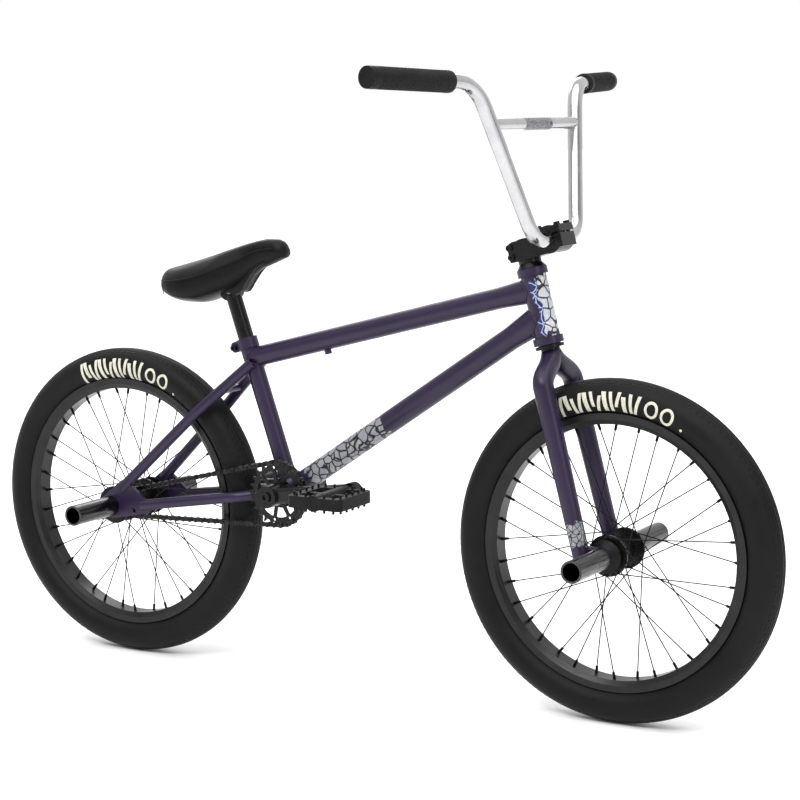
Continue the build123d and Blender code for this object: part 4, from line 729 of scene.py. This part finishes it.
def grip_sleeve(name, side):
    """Turned sleeve: its radius is a rounded rib every few millimetres, with a low flange inboard."""
    points = node_points("grips", side)
    out = np.abs(points[:, 1])
    inner = points[out < out.min() + 0.012].mean(axis=0)
    outer = points[out > out.max() - 0.012].mean(axis=0)
    run = unit(outer - inner)
    middle = (inner + outer) / 2
    start = middle - run * grip_length / 2
    along = np.linspace(0, grip_length, grip_rings)
    rib = 0.5 + 0.5 * np.cos(2 * np.pi * along / grip_rib_pitch)
    from_inner_end = np.clip((along - 0.012) / 0.002, 0, 1)
    from_outer_end = np.clip((grip_length - 0.010 - along) / 0.002, 0, 1)
    ribbed = from_inner_end * from_outer_end
    radius = grip_radius - ribbed * (1 - rib ** 0.6) * grip_rib_depth
    radius = radius + 0.3 * MM * np.exp(-((along - 0.006) / 0.003) ** 4)
    radius[0] = radius[-1] = 11.3 * MM
    radius[1] = radius[-2] = 14.6 * MM
    across = unit(np.cross(run, [0.0, 0.0, 1.0]))
    up = np.cross(across, run)
    angle = np.linspace(0, 2 * np.pi, grip_columns, endpoint=False)
    ring = across * np.cos(angle)[:, None] + up * np.sin(angle)[:, None]
    shape = start + run * along[:, None, None] + radius[:, None, None] * ring[None]
    faces = facing_out(shape, grid_faces(grip_rings, grip_columns, False, True))
    return add_piece(name, shape, faces, finishes["grip_rubber"], "handlebar", ("grips",))


# ================================================================ seat
seat_stations = np.array([-122, -117, -106, -90, -70, -50, -30, -12, 12, 34, 56, 74, 92, 103, 110]) * MM
seat_top = np.array([27, 32, 35, 38.5, 43, 48, 53.5, 60, 68, 75, 81, 84, 84, 79, 68]) * MM
seat_under = np.array([-1, -8, -14, -20, -23, -23, -17, -9, 3, 18, 34, 41, 47, 51, 53]) * MM
seat_half_width = np.array([24, 34, 44, 51, 54, 53, 49, 44, 35, 27, 22, 20, 18.5, 16, 11]) * MM
seat_side_height = 0.34                  # share of the pad's height at which it's widest
seat_shrink = 1.5 * MM                   # of the starting shape, which the cloth then fills
seat_swell = 4.0 * MM
seat_voxel = 4.0 * MM

# Lower edge of the seat base from its back to its front, about the pivot.
base_stations = np.array([-32, -24, -10, 10, 27, 34, 42, 50, 60, 74]) * MM
base_lower = np.array([2, -1.5, -4, -4, -1.5, 8, 19, 29, 38, 45]) * MM
base_wall_inner = 12.2 * MM
base_wall_outer = 16.0 * MM
base_front_start = 19.5 * MM
base_skin = 3.2 * MM


def smooth_between(x, stations, values):
    """Monotone cubic through the stations: Hermite pieces with limited slopes."""
    slope = np.diff(values) / np.diff(stations)
    tangent = np.concatenate([[slope[0]], (slope[1:] + slope[:-1]) / 2, [slope[-1]]])
    turning = np.concatenate([[False], slope[1:] * slope[:-1] <= 0, [False]])
    tangent = np.where(turning, 0.0, tangent)
    index = np.clip(np.searchsorted(stations, x) - 1, 0, len(stations) - 2)
    width = stations[index + 1] - stations[index]
    t = (x - stations[index]) / width
    return (
        (2 * t**3 - 3 * t**2 + 1) * values[index] + (t**3 - 2 * t**2 + t) * width * tangent[index]
        + (3 * t**2 - 2 * t**3) * values[index + 1] + (t**3 - t**2) * width * tangent[index + 1]
    )


def seat_point(along, around, shrink):
    """Point of the seat: at each station a superellipse with a flatter top and a tucked-in lower edge."""
    x = smooth_between(along, np.linspace(0, 1, len(seat_stations)), seat_stations)
    top = smooth_between(x, seat_stations, seat_top)
    under = smooth_between(x, seat_stations, seat_under)
    half = smooth_between(x, seat_stations, seat_half_width)
    end = np.clip(np.minimum(along, 1 - along) / 0.016, 0.0, 1.0)
    closing = np.sqrt(np.clip(1 - (1 - end) ** 2, 0, 1))
    cosine, sine = np.cos(around), np.sin(around)
    wide = np.sign(cosine) * np.abs(cosine) ** 0.66
    high = np.sign(sine) * np.abs(sine) ** 0.78
    tuck = 1 - 0.30 * np.clip(-high, 0, 1) ** 3 - 0.16 * np.clip(high, 0, 1) ** 2
    middle = under + (top - under) * seat_side_height
    reach = np.where(sine > 0, top - middle, middle - under)
    return place(
        seat_pivot[0] + x,
        seat_pivot[1] + (half * closing * tuck - shrink) * wide,
        seat_pivot[2] + middle + (reach * closing - shrink) * high,
    )


def seat_shape():
    """Closed starting shape of the pad, a little smaller than the finished seat."""
    rings, columns = 120, 96
    along = np.linspace(0.002, 0.998, rings)[:, None]
    around = np.linspace(0, 2 * np.pi, columns, endpoint=False)[None, :]
    points = seat_point(along, around, seat_shrink)
    sides = grid_faces(rings, columns, False, True)
    flat = points.reshape(-1, 3)
    tips = np.stack([points[0].mean(axis=0), points[-1].mean(axis=0)])
    ring = np.arange(columns)
    after = (ring + 1) % columns
    last_ring = (rings - 1) * columns
    first = np.stack([ring * 0 + len(flat), after, ring], axis=-1)
    last = np.stack([ring * 0 + len(flat) + 1, last_ring + ring, last_ring + after], axis=-1)
    faces = sides.tolist() + first.tolist() + last.tolist()
    mesh = bpy.data.meshes.new("seat_cover")
    mesh.from_pydata(np.concatenate([flat, tips]).tolist(), [], faces)
    mesh.materials.append(finishes["seat_fabric"])
    return mesh


def seat_pad():
    """Padded top, swollen by cloth pressure over its shape and then smoothed."""
    mesh = seat_shape()
    pad = bpy.data.objects.new("seat_cover", mesh)
    bpy.context.scene.collection.objects.link(pad)
    bpy.context.view_layer.objects.active = pad
    remesh = pad.modifiers.new("even", "REMESH")
    remesh.mode = "VOXEL"
    remesh.voxel_size = seat_voxel
    remesh.use_smooth_shade = True
    apply_modifiers(pad)
    inflate(pad, seat_swell)
    soften = pad.modifiers.new("soften", "SMOOTH")
    soften.factor = 0.5
    soften.iterations = 3
    subdivide = pad.modifiers.new("finer", "SUBSURF")
    subdivide.levels = 1
    subdivide.render_levels = 1
    apply_modifiers(pad)
    pad.data.polygons.foreach_set("use_smooth", np.full(len(pad.data.polygons), True))
    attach(pad, "seat")
    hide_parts("seat_pad")
    return pad


def apply_modifiers(piece):
    """Replaces a piece's mesh by what its modifiers make."""
    graph = bpy.context.evaluated_depsgraph_get()
    graph.update()
    made = bpy.data.meshes.new_from_object(piece.evaluated_get(graph), depsgraph=graph)
    piece.modifiers.clear()
    piece.data = made


def inflate(piece, cap):
    """Cloth under inner pressure for twenty frames; no point moves further than the cap."""
    before = np.empty(len(piece.data.vertices) * 3)
    piece.data.vertices.foreach_get("co", before)
    cloth = piece.modifiers.new("cloth", "CLOTH")
    cloth.settings.use_pressure = True
    cloth.settings.uniform_pressure_force = 4.0
    cloth.settings.effector_weights.gravity = 0.0
    cloth.settings.quality = 4
    scene = bpy.context.scene
    for number in range(1, 21):
        scene.frame_set(number)
    apply_modifiers(piece)
    after = np.empty(len(piece.data.vertices) * 3)
    piece.data.vertices.foreach_get("co", after)
    shift = (after - before).reshape(-1, 3)
    length = np.linalg.norm(shift, axis=1, keepdims=True)
    shift = shift * np.minimum(1.0, cap / np.maximum(length, 1e-9))
    piece.data.vertices.foreach_set("co", (before.reshape(-1, 3) + shift).ravel())
    piece.data.update()
    scene.frame_set(1)


def bar_between(x, low, high, right, left):
    """Closed bar along X: at each station a rectangle with clipped corners, drawn to a point at both ends."""
    clip = 0.7 * MM
    low, high = low[:, None], high[:, None]
    sides = np.array([right, right, right + clip, left - clip, left, left, left - clip, right + clip])
    share = np.array([0, 1, 1, 1, 1, 0, 0, 0])
    inset = np.array([clip, -clip, 0, 0, -clip, clip, 0, 0])
    points = place(x[:, None], sides[None, :], low + (high - low) * share + inset)
    first = np.broadcast_to(points[0].mean(axis=0), points[0].shape)[None]
    last = np.broadcast_to(points[-1].mean(axis=0), points[-1].shape)[None]
    return np.concatenate([first, points, last])


def seat_base_shell():
    """Moulded base under the pad: two walls beside the post's head, a curved front and a short back."""
    bars = []
    x = np.linspace(base_stations[0], base_stations[-1], 90)
    lower = smooth_between(x, base_stations, base_lower)
    upper = np.maximum(smooth_between(x, seat_stations, seat_under) + 8 * MM, lower + 3 * MM)
    bars.append(bar_between(x, lower, upper, -base_wall_outer, -base_wall_inner))
    bars.append(bar_between(x, lower, upper, base_wall_inner, base_wall_outer))
    front = x[x > base_front_start]
    front_lower = smooth_between(front, base_stations, base_lower) + 1.2 * MM
    bars.append(bar_between(front, front_lower, front_lower + base_skin, -base_wall_inner, base_wall_inner))
    back = x[x < -base_front_start]
    back_lower = smooth_between(back, base_stations, base_lower) + 1.2 * MM
    bars.append(bar_between(back, back_lower, back_lower + base_skin * 2, -base_wall_inner, base_wall_inner))
    points = []
    faces = []
    count = 0
    for bar in bars:
        placed = bar + seat_pivot
        points.append(placed.reshape(-1, 3))
        faces.append(facing_out(placed, grid_faces(len(bar), 8, False, True)) + count)
        count += len(points[-1])
    add_piece("seat_base_shell", np.concatenate(points), np.concatenate(faces), finishes["black_plastic"],
              "seat", ("seat_base",))


def seat_seams():
    """Stitched piping: a line along each side and one across each rear corner, just proud of the cover."""
    for name, side in (("right", np.pi), ("left", 0.0)):
        upward = 1 if side == 0.0 else -1
        along = np.linspace(0.12, 0.86, 260)
        lean = 0.22 + 0.10 * np.sin(np.pi * along)
        path = seat_point(along, side + upward * lean, -seam_lift)
        seam_line(f"seat_seam_{name}", path)
        down = np.linspace(0.40, 0.95, 90)
        corner_along = 0.16 + 0.012 * np.sin(down * 2)
        corner = seat_point(corner_along, side + upward * (down - 0.75), -seam_lift)
        seam_line(f"seat_corner_seam_{name}", corner)


def seam_line(name, path):
    """Thin cord with a swell at every stitch."""
    step = np.linalg.norm(np.diff(path, axis=0, prepend=path[:1]), axis=1)
    travelled = np.cumsum(step)
    radius = seam_radius * (0.75 + 0.25 * np.abs(np.sin(np.pi * travelled / stitch_pitch)))
    radius[0] = radius[-1] = 0.0
    points = tube_along(path, radius, 8, False)
    faces = facing_out(points, grid_faces(len(path), 8, False, True))
    add_piece(name, points, faces, finishes["seat_fabric"], "seat")


# ================================================================ welds
def weld_line(foot, run, radius, other, other_run, other_radius):
    """Closed curve where one round tube, run out from its foot, first meets another.

    For each angle round the first tube the curve is at the distance s that solves
    |point(s) - other axis| = other radius, the smaller root of a quadratic in s.
    """
    run = unit(run)
    other_run = unit(other_run)
    first = unit(np.cross(run, other_run))
    second = np.cross(run, first)
    angle = np.linspace(0, 2 * np.pi, weld_points, endpoint=False)
    base = foot + radius * (first * np.cos(angle)[:, None] + second * np.sin(angle)[:, None]) - other
    flat_base = base - (base @ other_run)[:, None] * other_run
    flat_run = run - (run @ other_run) * other_run
    a = flat_run @ flat_run
    b = flat_base @ flat_run
    c = np.sum(flat_base**2, axis=1) - other_radius**2
    root = np.sqrt(np.clip(b * b - a * c, 0.0, None))
    return base + other + run * ((-b - root) / a)[:, None]


def weld_bead(name, path, body):
    """Bead of overlapping puddles: a tube whose radius swells at every ripple."""
    step = np.linalg.norm(np.roll(path, -1, axis=0) - path, axis=1)
    travelled = np.cumsum(step) - step
    ripples = max(6, round(step.sum() / weld_ripple_pitch))
    swell = np.abs(np.sin(np.pi * ripples * travelled / step.sum()))
    radius = weld_radius * (0.78 + 0.22 * swell)
    points = tube_along(path, radius, 10, True)
    faces = facing_out(points, grid_faces(len(path), 10, True, True))
    return add_piece(name, points, faces, finishes["purple_paint"], body)


def frame_welds():
    """Beads at both ends of the top tube and the down tube, and at the foot of the seat tube."""
    top_run = unit(top_tube_front - top_tube_rear)
    head = (head_foot, steer_up, head_tube_radius)
    post = (crank_centre, seat_up, seat_tube_radius)
    shell = (crank_centre, LEFT, shell_radius)
    beads = (
        ("weld_top_tube_head", top_tube_rear, top_run, top_tube_front_radius, head),
        ("weld_top_tube_seat", top_tube_front, -top_run, top_tube_radius, post),
        ("weld_down_tube_head", crank_centre, down_run, down_tube_front_radius, head),
        ("weld_down_tube_shell", down_tube_front, -down_run, down_tube_rear_radius, shell),
        ("weld_seat_tube_shell", crank_centre + seat_up * 0.2, -seat_up, seat_tube_radius, shell),
    )
    for name, foot, run, radius, other in beads:
        weld_bead(name, weld_line(foot, run, radius, *other), "frame")


# ================================================================ studio
def light(name, position, aim, size, power):
    """Rectangular area lamp at a position, turned towards the point it aims at."""
    lamp = bpy.data.lights.new(name, "AREA")
    lamp.shape = "RECTANGLE"
    lamp.size, lamp.size_y = size
    lamp.energy = power
    holder = bpy.data.objects.new(name, lamp)
    bpy.context.scene.collection.objects.link(holder)
    holder.location = position
    direction = np.array(aim) - np.array(position)
    yaw = math.atan2(direction[1], direction[0]) - math.pi / 2
    pitch = math.atan2(direction[2], math.hypot(direction[0], direction[1]))
    holder.rotation_euler = Euler((math.pi / 2 + pitch, 0.0, yaw))


def surround_tone(tree, background):
    """Surround by direction: white behind the bike, dimmer on the side that the right-hand view is from."""
    dim_side = (0.51, -0.86, 0.0)
    dim_tone = 0.42
    coordinates = tree.nodes.new("ShaderNodeTexCoord")
    product = tree.nodes.new("ShaderNodeVectorMath")
    product.operation = "DOT_PRODUCT"
    product.inputs[1].default_value = dim_side
    tone = tree.nodes.new("ShaderNodeMapRange")
    for key, value in zip(("From Min", "From Max", "To Min", "To Max"), (-0.3, 0.5, 1.0, dim_tone)):
        tone.inputs[key].default_value = value
    tree.links.new(coordinates.outputs["Generated"], product.inputs[0])
    tree.links.new(product.outputs["Value"], tone.inputs["Value"])
    tree.links.new(tone.outputs["Result"], background.inputs["Color"])


def studio():
    """Pale floor, broad soft lights and a bright surround."""
    far = 40.0
    squares = np.linspace(-far, far, 24)
    points = place(squares[:, None], squares[None, :], 0.0)
    floor = mesh_object("studio_floor", points, grid_faces(24, 24)[:, ::-1], plain_floor())
    world = bpy.data.worlds.new("surround")
    world.use_nodes = True
    background = world.node_tree.nodes["Background"]
    surround_tone(world.node_tree, background)
    bpy.context.scene.world = world
    bpy.context.scene.view_settings.view_transform = "Standard"
    bike_middle = (0.0, 0.0, 0.4)
    light("key", (0.2, -2.6, 3.0), bike_middle, size=(2.4, 0.9), power=55.0)
    light("fill", (3.0, -1.2, 1.6), (0.2, 0.0, 0.4), size=(0.7, 1.6), power=16.0)
    light("back", (-1.8, 2.4, 2.4), bike_middle, size=(2.4, 1.2), power=30.0)
    sky = bpy.data.lights.new("ceiling", "SUN")
    sky.energy = 2.6
    sky.angle = 1.4
    ceiling = bpy.data.objects.new("ceiling", sky)
    ceiling.rotation_euler = (0.25, 0.1, 0.0)
    bpy.context.scene.collection.objects.link(ceiling)


def camera():
    """Right side, turned towards the front, a little above the hubs."""
    lens = bpy.data.cameras.new("view")
    lens.sensor_width = 36.0
    lens.lens = 92.187
    lens.shift_x = 0.0223
    lens.shift_y = 0.0601
    lens.clip_end = 100.0
    holder = bpy.data.objects.new("view", lens)
    bpy.context.scene.collection.objects.link(holder)
    holder.location = (1.6514, -2.6976, 0.8966)
    yaw, pitch, roll = 0.5371, 0.1627, -0.0106
    holder.rotation_euler = (
        Euler((0.0, 0.0, yaw)).to_matrix() @ Euler((math.pi / 2 - pitch, 0.0, 0.0)).to_matrix()
        @ Euler((0.0, 0.0, roll)).to_matrix()
    ).to_euler()
    bpy.context.scene.camera = holder


# ================================================================ assembly
paint_cad_nodes()
tyre_shell("front_tyre_casing", front_axle, "front_wheel", ("front_tyre",))
tyre_shell("rear_tyre_casing", rear_axle, "rear_wheel", ("rear_tyre",))
wall_marks("front_tyre_marks", front_axle, 0.210, 0.241, "front_wheel")
wall_marks("rear_tyre_marks", rear_axle, 0.207, 0.243, "rear_wheel")
grip_sleeve("grip_right", -1)
grip_sleeve("grip_left", 1)
seat_pad()
seat_base_shell()
seat_seams()
frame_welds()
studio()
camera()
